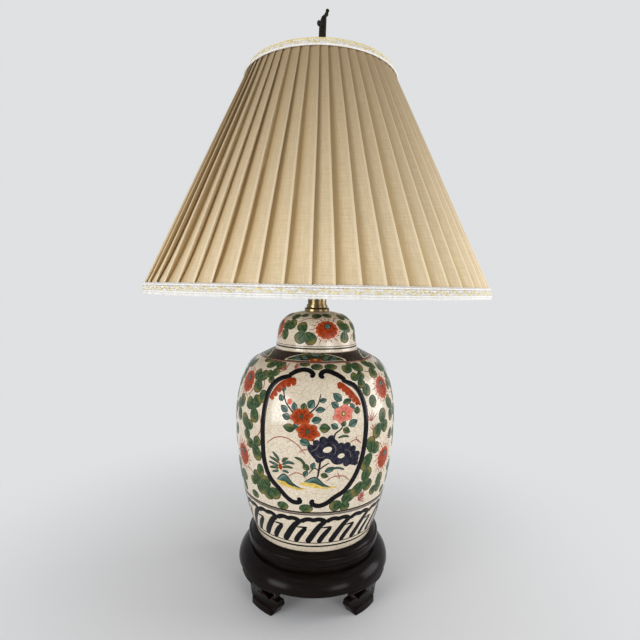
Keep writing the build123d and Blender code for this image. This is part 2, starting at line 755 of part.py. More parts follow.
def make_ribs():
    """Straight wires from the bottom ring to the top ring."""
    low, high = Vector(ring_r(RING_LOW_Z), 0, RING_LOW_Z), Vector(ring_r(RING_TOP_Z), 0, RING_TOP_Z)
    along = (high - low).normalized() * (FRAME_WIRE_R + WELD_GAP)
    rib = rod_between(low + along, high - along, FRAME_WIRE_R)
    turn = 360.0 / RIB_COUNT
    return Compound(children=[Rot(Z=turn * (i + 0.5)) * rib for i in range(RIB_COUNT)])


def make_spider():
    """Washer on the harp's stud with wire arms out to the top ring."""
    spider = tube(STUD_R + RUN_GAP, SPIDER_R, SPIDER_LOW_Z, SPIDER_LOW_Z + SPIDER_T)
    reach = ring_r(RING_TOP_Z) - FRAME_WIRE_R - WELD_GAP
    start = (SPIDER_R + STUD_R) / 2
    arm = rod_between((start, 0, SPIDER_MID_Z), (reach, 0, SPIDER_MID_Z), SPIDER_WIRE_R)
    turn = 360.0 / SPIDER_ARMS
    for i in range(SPIDER_ARMS):
        spider += Rot(Z=SPIDER_FIRST_ANGLE + turn * i) * arm
    return spider


def make_finial_base():
    """Turned foot of the finial, tapped for the harp's stud."""
    waist_z = FINIAL_Z + FINIAL_BASE_HEIGHT
    foot_z = FINIAL_Z + FINIAL_BASE_FOOT
    sweep_in = Spline((FINIAL_BASE_R, foot_z), (FINIAL_WAIST_R, waist_z), tangents=[(0, 1), (0, 1)])
    rest = Polyline(
        (FINIAL_WAIST_R, waist_z),
        (0, waist_z),
        (0, FINIAL_Z),
        (FINIAL_BASE_R, FINIAL_Z),
        (FINIAL_BASE_R, foot_z),
    )
    tapped = Pos(0, 0, FINIAL_Z) * Cylinder(STUD_R + RUN_GAP, STUD_LENGTH, align=BASE)
    return turned(sweep_in, *rest.edges()) - tapped


def make_finial_stem():
    """Stem of the finial: a leaf at its left side, and a bead and a ball at its tip, which leans right."""
    low = Vector(0, 0, FINIAL_Z + FINIAL_BASE_HEIGHT)
    neck = low + Vector(FINIAL_STEM_SHIFT, 0, FINIAL_STEM_HEIGHT)
    tip = neck + Vector(FINIAL_TIP_SHIFT, 0, FINIAL_TIP_RISE)
    bead = tip + Vector(FINIAL_BEAD_SHIFT, 0, FINIAL_BEAD_RISE)
    ball = bead + Vector(FINIAL_BALL_SHIFT, 0, FINIAL_BALL_RISE)
    sections = [
        Pos(low) * Circle(FINIAL_WAIST_R),
        Pos(neck) * Circle(FINIAL_STEM_R),
        Pos(tip) * Circle(FINIAL_TIP_R),
        Pos(bead) * Circle(FINIAL_BALL_R),
    ]
    half = FINIAL_LEAF_LENGTH / 2
    leaf = turned(
        Spline((0, -half), (FINIAL_LEAF_R, 0), tangents=[(1, 1), (0, 1)]),
        Spline((FINIAL_LEAF_R, 0), (0, half), tangents=[(0, 1), (-1, 1)]),
        Line((0, half), (0, -half)),
    )
    leaf_place = neck - Vector(FINIAL_STEM_R + FINIAL_LEAF_R - FINIAL_LEAF_SINK, 0, 0)
    stem = loft(sections, ruled=True) + Pos(leaf_place) * leaf
    return stem + Pos(bead) * Sphere(FINIAL_BEAD_R) + Pos(ball) * Sphere(FINIAL_BALL_R)


def build():
    """Every piece of the lamp by the name of its node."""
    foot = make_foot()
    foot_names = ("front_left", "front_right", "rear_right", "rear_left")
    top_trim_z = SHADE_TOP_Z + TRIM_OVERHANG - TRIM_TOP_HEIGHT
    nodes = {"foot_" + name: Rot(Z=angle) * foot for name, angle in zip(foot_names, foot_angles())}
    nodes.update(
        stand_drum=make_drum(),
        stand_rim=make_rim(),
        cord_bushing=make_bushing(),
        base_washer=make_washer(),
        base_nut=make_nut(),
        threaded_rod=make_rod(),
        jar=make_jar(),
        lid=make_lid(),
        check_ring=make_check_ring(),
        brass_neck=make_neck(),
        harp_saddle=make_saddle(),
        harp=make_harp(),
        harp_stud=make_stud(),
        harp_ferrule_left=make_ferrule(-1),
        harp_ferrule_right=make_ferrule(1),
        socket_cap=make_socket_cap(),
        socket_shell=make_socket_shell(),
        socket_insulator=make_sleeve(),
        socket_interior=make_core(),
        socket_screw_shell=make_screw_shell(),
        socket_contact=make_tongue(),
        terminal_screws=make_terminals(),
        switch_shaft=make_switch_shaft(),
        switch_knob=make_switch_knob(),
        bulb_glass=make_bulb_glass(),
        bulb_cap=make_bulb_cap(),
        bulb_contact=make_bulb_tip(),
        shade_spider=make_spider(),
        shade_top_ring=make_ring(RING_TOP_Z),
        shade_bottom_ring=make_ring(RING_LOW_Z),
        shade_ribs=make_ribs(),
        shade_lining=make_lining(),
        shade_pleats=make_pleats(),
        shade_trim_bottom=make_trim(SHADE_LOW_Z - TRIM_OVERHANG, TRIM_BOTTOM_HEIGHT),
        shade_trim_top=make_trim(top_trim_z, TRIM_TOP_HEIGHT),
        finial_base=make_finial_base(),
        finial_stem=make_finial_stem(),
    )
    return nodes


os.makedirs("parts", exist_ok=True)
for node, shape in build().items():
    export_step(shape, f"parts/{node}.step")
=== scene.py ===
"""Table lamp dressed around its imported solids: a painted ginger jar on a wood stand, under a pleated shade.

Lengths are in millimetres until a mesh is made, which is in metres. Heights are above the table.
"""
import json

import bmesh
import bpy
import numpy as np
from mathutils import Matrix


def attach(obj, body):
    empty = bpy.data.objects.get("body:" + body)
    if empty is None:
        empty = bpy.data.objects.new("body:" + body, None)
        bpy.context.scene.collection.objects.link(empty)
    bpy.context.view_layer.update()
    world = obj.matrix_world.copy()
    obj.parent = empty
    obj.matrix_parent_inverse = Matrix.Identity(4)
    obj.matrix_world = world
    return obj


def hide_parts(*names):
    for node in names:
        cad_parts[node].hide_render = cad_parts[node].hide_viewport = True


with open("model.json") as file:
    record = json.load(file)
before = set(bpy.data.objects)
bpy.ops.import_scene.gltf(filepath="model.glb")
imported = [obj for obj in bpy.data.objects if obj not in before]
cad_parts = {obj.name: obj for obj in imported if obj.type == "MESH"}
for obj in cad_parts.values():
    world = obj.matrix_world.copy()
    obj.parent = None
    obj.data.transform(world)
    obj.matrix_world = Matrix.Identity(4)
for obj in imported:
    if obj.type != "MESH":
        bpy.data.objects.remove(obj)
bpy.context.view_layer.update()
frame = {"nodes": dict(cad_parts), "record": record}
MM = 0.001
DRAW = np.random.default_rng(11)

# Points nearer than this are joined and edges shorter than this are dropped, in metres
WELD_REACH, EMPTY_EDGE = 2e-6, 1e-7
# Edges that turn less than this, in degrees, are shaded across: on the solids, new pieces, enamel and pleats
SOFT_ANGLE, PIECE_SHARP, ENAMEL_SHARP, PLEAT_SHARP = 32.0, 40.0, 70.0, 75.0
# Faces round each turned piece
JAR_SEGMENTS, LID_SEGMENTS, LINING_SEGMENTS, TAPE_SEGMENTS, RING_SEGMENTS = 256, 224, 192, 240, 240

# Jar and lid, as in the solids
JAR_R, JAR_FOOT_Z, JAR_BELLY_Z = 98.8, 68.7, 218.7
JAR_LOW_ARC, JAR_SHOULDER_ARC, JAR_CORNER_ARC = 405.0, 155.0, 36.0
JAR_SHOULDER_TURN, JAR_SLOPE = 20.0, 64.0
JAR_SEAT_R, JAR_NECK_R, JAR_NECK_HEIGHT, JAR_WALL, JAR_FLOOR = 51.5, 43.0, 11.0, 5.0, 7.0
ROD_HOLE_R = 5.5
LID_R, LID_BASE_Z, LID_SIDE_HEIGHT, LID_DRAFT = 50.6, 301.47, 22.0, 7.4
LID_CORNER_ARC, LID_CORNER_TURN, LID_LAND_R, LID_WALL = 25.0, 73.3, 16.5, 4.0
LID_RIM_ROUND = np.array([(-0.5, 0.0), (-0.1, 0.3), (0.0, 0.9)])

# Shade, as in the solids
SHADE_LOW_Z, SHADE_TOP_Z = 368.41, 629.61
SHADE_BOTTOM_R, SHADE_TOP_R = 202.4, 87.0
SHADE_HEIGHT = SHADE_TOP_Z - SHADE_LOW_Z
PLEATS, PLEAT_DEPTH_BOTTOM, PLEAT_DEPTH_TOP = 58, 4.0, 2.6
TRIM_BOTTOM_Z, TRIM_BOTTOM_HEIGHT = 366.91, 12.0
TRIM_TOP_Z, TRIM_TOP_HEIGHT = 621.11, 10.0
LINING_DEPTH, LINING_T, CLOTH_T = 5.1, 0.8, 0.4

# Cloth of the shade: its swell past the cone, how its pleats vary, and how the trims press them
SWELL, SWELL_FALL, SWELL_TOP_FADE, SWELL_IN_DEPTH = 4.2, 0.8, 14.0, 0.8
PLEAT_ROWS, PLEAT_EDGE_GAP, PLEAT_LINING_GAP = 46, 0.3, 0.6
WIDTH_SPREAD, DEPTH_SPREAD, WANDER, WANDER_TURN = 0.05, 0.14, 0.035, 4.2
PRESS_BOTTOM, PRESS_BOTTOM_REACH, PRESS_TOP, PRESS_TOP_REACH = 0.62, 30.0, 0.3, 20.0
LINING_EDGE_GAP, LINING_SHY = 0.5, 0.1

# Trims of the shade
TAPE_SIT, TAPE_T, TWIST_SWELL = 0.05, 0.55, 0.12
BOTTOM_TWISTS, TOP_TWISTS, BOTTOM_PICOTS = 420, 200, 330

# Sizes of the weave's maps in metres, along and up
TURNED_SPAN, CORD_SPAN = (2 * np.pi * JAR_R * MM, 0.3), (1.0, 0.02)
PLEAT_SPAN, LINING_SPAN = (1.9, 0.286), (1.2, 0.57)

# Enamel: how far its edges sink under the glaze, and how far its layers stand off it
SINK, UNDER, LIFT, OVER = 0.04, 0.14, 0.22, 0.34
BORDER_LIFT, BORDER_HEAD_LIFT, CLOUD_LIFT, CLOUD_SPOT_LIFT = 0.30, 0.32, 0.26, 0.24
REAR_ROCK_LIFT, FRONT_ROCK_LIFT, ROCK_HOLE_LIFT, ROCK_VEIN_LIFT = 0.30, 0.32, 0.42, 0.38
SHORE_LIFT, HILL_LIFT, HILL_LINE_LIFT = 0.16, 0.24, 0.30
ROSEBUD_LIFT, GRASS_FLOWER_LIFT = 0.30, 0.36
LOTUS_LINE_LIFT, LOTUS_DISC_LIFT, LOTUS_HEART_LIFT = 0.23, 0.27, 0.46
PETAL_LIFT, HEART_EDGE_LIFT, HEART_LIFT = 0.24, 0.36, 0.44
BAND_LIFT, RESERVE_LIFT, RESERVE_GROUND_LIFT = 0.12, 0.20, 0.28
RESERVE_LEAF_LIFT, RESERVE_FLOWER_LIFT, RESERVE_HEART_LIFT = 0.40, 0.42, 0.50
LAPPET_LIFT, LAPPET_ARCH_LIFT, LAPPET_BAR_LIFT = 0.26, 0.28, 0.30
DARK_EDGE = 0.6
# Where a stroke, a ring line and a patch have their points, as shares of the half-width or radius
STROKE_ACROSS, RING_LINE_FLAT = np.array([-1.0, -0.8, 0.0, 0.8, 1.0]), 0.96
PATCH_RINGS = np.array([1.0, 0.975, 0.93, 0.8, 0.45, 0.0])


def arc(centre, radius, start, end, count):
    """Points (radius, height) on a circle: centre plus radius times (cos a, sin a), a in degrees."""
    a = np.radians(np.linspace(start, end, count))
    return np.column_stack([centre[0] + radius * np.cos(a), centre[1] + radius * np.sin(a)])


def offset_in(side, wall):
    """The same profile moved in by a wall along its normal."""
    run = np.gradient(side, axis=0)
    run /= np.linalg.norm(run, axis=1, keepdims=True)
    return side + wall * np.column_stack([-run[:, 1], run[:, 0]])


def cells(rows, cols, wrap_rows, wrap_cols):
    """Corner numbers and grid steps of a grid's faces; a wrapped side joins its last line to its first."""
    i, j = np.meshgrid(
        np.arange(rows - (not wrap_rows)), np.arange(cols - (not wrap_cols)), indexing="ij"
    )
    i, j = i.ravel(), j.ravel()
    ni, nj = (i + 1) % rows, (j + 1) % cols
    corners = np.stack([i * cols + j, i * cols + nj, ni * cols + nj, ni * cols + j], 1)
    steps = np.stack([np.stack([j, j + 1, j + 1, j], 1), np.stack([i, i, i + 1, i + 1], 1)], -1)
    return corners, steps


def grid(points, wrap_rows=False, wrap_cols=False, span=(1.0, 1.0), wash=0.5):
    """One surface of a piece: its points in mm by row and column, its size along and up, its wash."""
    return points, wrap_rows, wrap_cols, span, np.broadcast_to(wash, points.shape[:2])


def piece(name, grids, finish, body, replaces=(), sharp=PIECE_SHARP, merge=False):
    """Mesh object of one or more grids, smooth but for edges sharper than an angle, riding on a body."""
    verts, faces, uvs, washes, first = [], [], [], [], 0
    for points, wrap_rows, wrap_cols, span, wash in grids:
        rows, cols = points.shape[:2]
        corners, steps = cells(rows, cols, wrap_rows, wrap_cols)
        whole = np.array([max(cols - (not wrap_cols), 1), max(rows - (not wrap_rows), 1)])
        verts.append(points.reshape(-1, 3) * MM)
        faces.append(corners + first)
        uvs.append((steps / whole * np.array(span)).reshape(-1, 2))
        washes.append(wash.ravel())
        first += rows * cols
    mesh = bpy.data.meshes.new(name)
    mesh.from_pydata(np.vstack(verts).tolist(), [], np.vstack(faces).tolist())
    mesh.uv_layers.new(name="cloth").data.foreach_set("uv", np.vstack(uvs).astype(np.float32).ravel())
    field = mesh.attributes.new("wash", "FLOAT", "POINT")
    field.data.foreach_set("value", np.concatenate(washes).astype(np.float32))
    mesh.polygons.foreach_set("use_smooth", np.ones(len(mesh.polygons), bool))
    if merge:
        weld(mesh)
    mesh.set_sharp_from_angle(angle=np.radians(sharp))
    mesh.materials.append(finish)
    mesh.update()
    made = bpy.data.objects.new(name, mesh)
    bpy.context.scene.collection.objects.link(made)
    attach(made, body)
    if replaces:
        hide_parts(*replaces)
    return made


def weld(mesh):
    """Joins points that share a place, so that poles and tips are closed, and drops the empty faces."""
    work = bmesh.new()
    work.from_mesh(mesh)
    bmesh.ops.remove_doubles(work, verts=work.verts, dist=WELD_REACH)
    bmesh.ops.dissolve_degenerate(work, edges=work.edges, dist=EMPTY_EDGE)
    work.to_mesh(mesh)
    work.free()


def turned(profile, segments, span=TURNED_SPAN):
    """Surface of revolution: (r cos a, r sin a, z) for each angle a and point (r, z) of a closed profile."""
    a = np.linspace(0, 2 * np.pi, segments, endpoint=False)
    r, z = profile[:, :1], profile[:, 1:]
    points = np.stack([r * np.cos(a), r * np.sin(a), z + 0 * a], -1)
    return grid(points, True, True, span)


def tube_ring(radius, height, cord, sides):
    """Closed cord round the lamp's axis: a circle of the cord's radius carried along (radius, height)
    given at equal angles."""
    a = np.linspace(0, 2 * np.pi, len(radius), endpoint=False)
    b = np.linspace(0, 2 * np.pi, sides, endpoint=False)[:, None]
    r, z = radius + cord * np.cos(b), height + cord * np.sin(b)
    points = np.stack([r * np.cos(a), r * np.sin(a), z], -1)
    return grid(points, True, True, CORD_SPAN)


# Finishes

# Range that most of a noise lies in, and the tones and roughness that finishes share
NOISE_LOW, NOISE_HIGH = 0.3, 0.7
CREAM = (0.63, 0.545, 0.42), (0.73, 0.645, 0.51)
CRACK_BROWN, RUBBED_RED = (0.27, 0.19, 0.13), (0.050, 0.020, 0.013)
ENAMEL_ROUGH = (0.16, 0.30)


class Finish:
    """Node material on a principled shader, whose methods add nodes and hand back the socket they end in."""

    def __init__(self, name, **values):
        self.made = bpy.data.materials.new(name)
        self.made.use_nodes = True
        self.tree = self.made.node_tree
        self.base = self.tree.nodes["Principled BSDF"]
        for socket, value in values.items():
            self.base.inputs[socket.replace("_", " ")].default_value = value

    def add(self, kind, inputs=(), **props):
        """New node with its properties set and its inputs linked or given constants."""
        new = self.tree.nodes.new("ShaderNode" + kind)
        for key, value in props.items():
            setattr(new, key, value)
        for key, value in dict(inputs).items():
            if isinstance(value, bpy.types.NodeSocket):
                self.tree.links.new(value, new.inputs[key])
            else:
                new.inputs[key].default_value = value
        return new

    def put(self, socket, value):
        """Links a value to the principled shader."""
        self.tree.links.new(value, self.base.inputs[socket])

    def spot(self):
        """Object coordinates."""
        return self.add("TexCoord").outputs["Object"]

    def wash(self):
        """The wash that the piece carries."""
        return self.add("Attribute", attribute_name="wash").outputs["Fac"]

    def noise(self, coords, scale, detail=4.0, stretch=(1.0, 1.0, 1.0)):
        """Noise value on coordinates stretched by three factors."""
        place = self.add("Mapping", {"Vector": coords, "Scale": stretch}).outputs[0]
        return self.add("TexNoise", {"Vector": place, "Scale": scale, "Detail": detail}).outputs[0]

    def spread(self, value, low, high, to_low=0.0, to_high=1.0):
        """Value mapped from one range to another, held inside it."""
        ends = {"From Min": low, "From Max": high, "To Min": to_low, "To Max": to_high}
        return self.add("MapRange", {"Value": value, **ends}).outputs[0]

    def join(self, operation, a, b):
        """Two values joined by a sum, a product or the like."""
        return self.add("Math", {0: a, 1: b}, operation=operation).outputs[0]

    def tones(self, value, low, high, start, end):
        """Colour that passes from a low tone to a high one between two places of a value."""
        new = self.add("ValToRGB", {"Fac": value})
        for mark, place, tone in zip(new.color_ramp.elements, (start, end), (low, high)):
            mark.position = place
            mark.color = (*tone, 1.0)
        return new.outputs["Color"]

    def toned(self, colour, tone, amount):
        """Colour taken towards one tone by an amount."""
        return self.add("Mix", {0: amount, 6: colour, 7: (*tone, 1.0)}, data_type="RGBA").outputs[2]

    def rough(self, value, low, high):
        """Roughness between two values, by a noise."""
        self.put("Roughness", self.spread(value, NOISE_LOW, NOISE_HIGH, low, high))

    def bump(self, height, strength, distance, **more):
        """Bump from a height value on the shader's normal."""
        new = self.add("Bump", {"Height": height, "Strength": strength, "Distance": distance, **more})
        self.put("Normal", new.outputs[0])


def glaze_finish():
    """Cream crackle glaze: mottled cream crossed by fine and wide nets of brown cracks, under gloss."""
    own = Finish("crackle_glaze", Roughness=0.13, IOR=1.5, Specular_IOR_Level=0.45)
    spot = own.spot()
    colour = own.tones(own.noise(spot, 40.0, 6.0), *CREAM, 0.3, 0.7)
    for scale, line, amount in ((300.0, 0.085, 0.46), (120.0, 0.026, 0.55)):
        net = own.add("TexVoronoi", {"Vector": spot, "Scale": scale}, feature="DISTANCE_TO_EDGE")
        crack = own.spread(net.outputs["Distance"], 0.0, line, amount, 0.0)
        colour = own.toned(colour, CRACK_BROWN, crack)
    own.put("Base Color", colour)
    own.rough(own.noise(spot, 90.0), 0.09, 0.2)
    own.bump(own.noise(spot, 25.0, 2.0), 0.05, 0.002)
    return own.made


def enamel_finish(name, low, high, tip=None):
    """Brushed enamel: two tones mottled by noise, with a third tone where the wash is strong."""
    own = Finish(name, Roughness=ENAMEL_ROUGH[0], IOR=1.5, Specular_IOR_Level=0.12)
    spot = own.spot()
    colour = own.tones(own.noise(spot, 260.0, 5.0), low, high, 0.35, 0.68)
    if tip:
        colour = own.toned(colour, tip, own.spread(own.wash(), 0.62, 0.98))
    own.put("Base Color", colour)
    own.rough(own.noise(spot, 400.0), *ENAMEL_ROUGH)
    own.bump(own.noise(spot, 500.0, 3.0), 0.12, 0.0004)
    return own.made


def wood_finish():
    """Near-black stained wood: long grain along the turning, satin, rubbed reddish at its edges."""
    own = Finish("dark_wood", Roughness=0.22, Specular_IOR_Level=0.07)
    spot = own.spot()
    grain = own.noise(spot, 60.0, 8.0, (1.0, 1.0, 7.0))
    stain = own.tones(grain, (0.003, 0.0022, 0.002), (0.009, 0.006, 0.005), 0.3, 0.72)
    soft = own.add("Bevel", {"Radius": 0.0016}, samples=6).outputs[0]
    face = own.add("NewGeometry").outputs["Normal"]
    turn = own.add("VectorMath", {0: soft, 1: face}, operation="DOT_PRODUCT").outputs["Value"]
    rub = own.spread(turn, 0.985, 0.8, 0.0, 0.75)
    patchy = own.join("MULTIPLY", rub, own.spread(own.noise(spot, 130.0), 0.35, 0.6))
    own.put("Base Color", own.toned(stain, RUBBED_RED, patchy))
    own.rough(own.noise(spot, 35.0, 5.0), 0.17, 0.28)
    own.bump(grain, 0.12, 0.0006, Normal=soft)
    return own.made


def metal_finish(name, low, high, rough, scale=70.0, stretch=(1.0, 1.0, 1.0)):
    """Worn metal: two tones and a roughness mottled by noise, with fine tool marks."""
    own = Finish(name, Metallic=1.0, Roughness=rough)
    spot = own.spot()
    worn = own.noise(spot, scale, 6.0)
    own.put("Base Color", own.tones(worn, low, high, 0.35, 0.65))
    own.rough(worn, rough + 0.12, rough)
    own.bump(own.noise(spot, 900.0, 3.0, stretch), 0.04, 0.0003)
    return own.made


def plain_finish(name, low, high, rough, scale=300.0, depth=0.1):
    """Moulded, pressed or fired surface: two near tones and a fine grain."""
    own = Finish(name, Roughness=rough)
    speck = own.noise(own.spot(), scale, 5.0)
    own.put("Base Color", own.tones(speck, low, high, 0.35, 0.65))
    own.rough(speck, rough, rough + 0.1)
    own.bump(speck, depth, 0.0004)
    return own.made


def cloth_finish(name, low, high, threads, slub, sheen, edge=None, fold=None, painted_top_shade=None):
    """Plain weave with slubs: two sets of threads on the cloth's own map, and stretched noise along them.
    A pleated cloth gets painted light: a painted highlight at the wash of its outer edges, painted shade
    deeper in colour down its folds, and painted shade darker towards its top."""
    own = Finish(name, Roughness=0.8, Sheen_Weight=sheen, Sheen_Roughness=0.4, Specular_IOR_Level=0.25)
    flat = own.add("UVMap", uv_map="cloth").outputs[0]
    warp = own.noise(flat, slub, 2.0, (1.0, 0.08, 1.0))
    weft = own.noise(flat, slub, 2.0, (0.08, 1.0, 1.0))
    slubs = own.join("ADD", warp, weft)
    colour = own.tones(own.spread(slubs, 0.7, 1.3), low, high, 0.1, 0.9)
    # Painted light on the pleats: a painted highlight on their outer edges, then painted shade down their
    # folds
    if edge:
        wash = own.wash()
        colour = own.toned(colour, edge, own.spread(wash, 0.02, 0.09, 0.7, 0.0))
        colour = own.toned(colour, fold, own.spread(wash, 0.45, 1.0))
        # Painted shade: the cloth darker towards the top of the shade
        up = own.add("SeparateXYZ", {0: flat}).outputs["Y"]
        colour = own.toned(colour, painted_top_shade, own.spread(up, 0.04, 0.268, 0.0, 0.75))
    own.put("Base Color", colour)
    along, across = (
        own.add("TexWave", {"Vector": flat, "Scale": threads}, bands_direction=way).outputs["Fac"]
        for way in ("X", "Y")
    )
    weave = own.join("MAXIMUM", along, across)
    own.bump(own.join("ADD", weave, slubs), 0.15, 0.0003)
    return own.made


def bulb_finish():
    """Frosted glass with an uneven inner coat."""
    own = Finish("frosted_glass", Roughness=0.35, Transmission_Weight=0.45, IOR=1.45)
    frost = own.noise(own.spot(), 120.0, 5.0)
    own.put("Base Color", own.tones(frost, (0.80, 0.79, 0.74), (0.92, 0.91, 0.87), 0.3, 0.7))
    own.rough(frost, 0.3, 0.45)
    return own.made


SMOKED, PALE_STEEL = (0.035, 0.030, 0.022), (0.62, 0.62, 0.62)
FINISHES = {
    "wood": wood_finish(),
    "glaze": glaze_finish(),
    "bushing_plastic": plain_finish("bushing_black", (0.012, 0.012, 0.012), (0.03, 0.03, 0.03), 0.45),
    "steel": metal_finish("zinc_steel", (0.35, 0.35, 0.36), PALE_STEEL, 0.32),
    "brass": metal_finish("aged_brass", (0.07, 0.047, 0.021), (0.235, 0.175, 0.088), 0.2, 55.0, (1, 1, 12)),
    "card": plain_finish("brown_card", (0.30, 0.22, 0.14), (0.42, 0.33, 0.22), 0.85),
    "porcelain": plain_finish("white_porcelain", (0.72, 0.70, 0.66), (0.84, 0.83, 0.79), 0.2, 80.0, 0.02),
    "knob_plastic": plain_finish("knob_black", (0.010, 0.010, 0.010), (0.026, 0.024, 0.022), 0.3),
    "bulb_glass": bulb_finish(),
    "bulb_cap": metal_finish("drawn_aluminium", (0.50, 0.50, 0.51), (0.74, 0.74, 0.75), 0.28),
    "frame_wire": metal_finish("plated_wire", (0.40, 0.36, 0.26), (0.62, 0.57, 0.44), 0.35),
    "lining": cloth_finish("lining_cloth", (0.66, 0.59, 0.47), (0.78, 0.71, 0.58), 500.0, 700.0, 0.1),
    # Shade cloth with painted light: a painted highlight colour for the pleat edges, painted shade colours
    # for the folds and the top
    "shade_cloth": cloth_finish(
        "shade_cloth", (0.635, 0.495, 0.30), (0.745, 0.595, 0.385), 420.0, 900.0, 0.12,
        edge=(0.86, 0.725, 0.51), fold=(0.53, 0.37, 0.17), painted_top_shade=(0.275, 0.188, 0.094),
    ),
    "trim": cloth_finish("white_cotton", (0.72, 0.70, 0.66), (0.88, 0.87, 0.85), 900.0, 500.0, 0.2),
    "bronze": metal_finish("dark_bronze", (0.012, 0.010, 0.007), SMOKED, 0.38, 200.0),
}
GOLD_THREAD = cloth_finish("gold_thread", (0.66, 0.52, 0.22), (0.86, 0.76, 0.45), 900.0, 500.0, 0.2)


# Solids that keep their own shape

def soft_shading():
    """Modifier group: joins the loose triangles and shades smooth across every edge flatter than an angle."""
    group = bpy.data.node_groups.new("soft_shading", "GeometryNodeTree")
    for way in ("INPUT", "OUTPUT"):
        group.interface.new_socket("Geometry", in_out=way, socket_type="NodeSocketGeometry")
    add, join = group.nodes.new, group.links.new
    start, end = add("NodeGroupInput"), add("NodeGroupOutput")
    close = add("GeometryNodeMergeByDistance")
    close.inputs["Distance"].default_value = WELD_REACH
    faces, edges = add("GeometryNodeSetShadeSmooth"), add("GeometryNodeSetShadeSmooth")
    edges.domain = "EDGE"
    edges.inputs["Shade Smooth"].default_value = False
    angle, sharp = add("GeometryNodeInputMeshEdgeAngle"), add("FunctionNodeCompare")
    sharp.operation = "GREATER_THAN"
    sharp.inputs[1].default_value = np.radians(SOFT_ANGLE)
    join(angle.outputs[0], sharp.inputs[0])
    join(sharp.outputs[0], edges.inputs["Selection"])
    join(start.outputs[0], close.inputs[0])
    join(close.outputs[0], faces.inputs[0])
    join(faces.outputs[0], edges.inputs[0])
    join(edges.outputs[0], end.inputs[0])
    return group


SOFT_SHADING = soft_shading()
SLOT_OF = {row["node"]: row["material_slot"] for row in frame["record"]["subparts"]}
for node, solid in frame["nodes"].items():
    solid.data.materials.clear()
    solid.data.materials.append(FINISHES[SLOT_OF[node]])
    solid.modifiers.new("soft_shading", "NODES").node_group = SOFT_SHADING


# Jar and lid

def jar_side():
    """Outside of the jar upwards: low arc, shoulder arc, corner arc and cone, each tangent to the last."""
    fall = np.degrees(np.arcsin((JAR_BELLY_Z - JAR_FOOT_Z) / JAR_LOW_ARC))
    low = arc((JAR_R - JAR_LOW_ARC, JAR_BELLY_Z), JAR_LOW_ARC, -fall, 0, 90)
    shoulder = arc((JAR_R - JAR_SHOULDER_ARC, JAR_BELLY_Z), JAR_SHOULDER_ARC, 0, JAR_SHOULDER_TURN, 32)
    turn = np.radians(JAR_SHOULDER_TURN)
    centre = shoulder[-1] - JAR_CORNER_ARC * np.array([np.cos(turn), np.sin(turn)])
    corner = arc(centre, JAR_CORNER_ARC, JAR_SHOULDER_TURN, JAR_SLOPE, 28)
    share = np.linspace(0, 1, 14)[1:, None]
    cone = corner[-1] + share * (np.array([JAR_SEAT_R, LID_BASE_Z]) - corner[-1])
    return np.vstack([low, shoulder[1:], corner[1:], cone])


def lid_side():
    """Outside of the lid upwards: a small rim round, the drafted side, the corner arc and the crown arc."""
    draft = np.radians(LID_DRAFT)
    top = np.array([LID_R - LID_SIDE_HEIGHT * np.tan(draft), LID_BASE_Z + LID_SIDE_HEIGHT])
    rim = np.array([LID_R, LID_BASE_Z]) + LID_RIM_ROUND
    share = np.linspace(0, 1, 14)[:-1, None]
    side = rim[-1] * (1 - share) + top * share
    centre = top - LID_CORNER_ARC * np.array([np.cos(draft), np.sin(draft)])
    corner = arc(centre, LID_CORNER_ARC, LID_DRAFT, LID_CORNER_TURN, 28)
    crown_r = corner[-1, 0] / np.cos(np.radians(LID_CORNER_TURN))
    middle = (0.0, corner[-1, 1] - crown_r * np.sin(np.radians(LID_CORNER_TURN)))
    crown = arc(middle, crown_r, LID_CORNER_TURN, np.degrees(np.arccos(LID_LAND_R / crown_r)), 12)
    return np.vstack([rim[:-1], side, corner, crown[1:]])


JAR_SIDE, LID_SIDE = jar_side(), lid_side()
neck_z, floor_z = LID_BASE_Z + JAR_NECK_HEIGHT, JAR_FOOT_Z + JAR_FLOOR
mouth_r = JAR_NECK_R - JAR_WALL
# The jar's inner wall starts above its floor and ends under its mouth
jar_inside = offset_in(JAR_SIDE[4:-8], JAR_WALL)[::-1]
jar_profile = np.vstack([
    [[ROD_HOLE_R, JAR_FOOT_Z]],
    JAR_SIDE,
    [[JAR_NECK_R, LID_BASE_Z], [JAR_NECK_R, neck_z], [mouth_r, neck_z], [mouth_r, LID_BASE_Z]],
    jar_inside,
    [[jar_inside[-1, 0], floor_z], [ROD_HOLE_R, floor_z]],
])
piece("jar_glaze", [turned(jar_profile, JAR_SEGMENTS)], FINISHES["glaze"], "base", ["jar"])
land_z = LID_SIDE[-1, 1]
# The lid's inner wall starts above its rim
lid_inside = offset_in(LID_SIDE[3:], LID_WALL)[::-1]
lid_profile = np.vstack([
    LID_SIDE,
    [[ROD_HOLE_R, land_z], [ROD_HOLE_R, lid_inside[0, 1]]],
    lid_inside,
    [[lid_inside[-1, 0], LID_BASE_Z]],
])
piece("lid_glaze", [turned(lid_profile, LID_SEGMENTS)], FINISHES["glaze"], "base", ["lid"])


# Painted decoration: places are (girth, up) on a chart, in mm

class Chart:
    """Turned side laid flat: girth round a radius, to the right from the front, and length up the side."""

    def __init__(self, side, girth_r):
        step = np.diff(side, axis=0)
        self.up = np.concatenate([[0.0], np.cumsum(np.hypot(step[:, 0], step[:, 1]))])
        run = np.gradient(side, self.up, axis=0)
        self.lines = np.column_stack([side, run[:, 1], -run[:, 0]]).T
        self.girth_r = girth_r
        self.turns = (0.0, np.pi * girth_r)

    def stretch(self, up):
        """Girth on the chart for each mm round the surface at a length up the side."""
        return self.girth_r / np.interp(up, self.up, self.lines[0])

    def place(self, girth, up, lift):
        """Point of the side at a length, moved out along its normal, then turned by girth over radius."""
        r, z, out_r, out_z = (np.interp(up, self.up, line) for line in self.lines)
        a, far = girth / self.girth_r, r + lift * out_r
        return np.stack([far * np.sin(a), -far * np.cos(a), z + lift * out_z], -1)


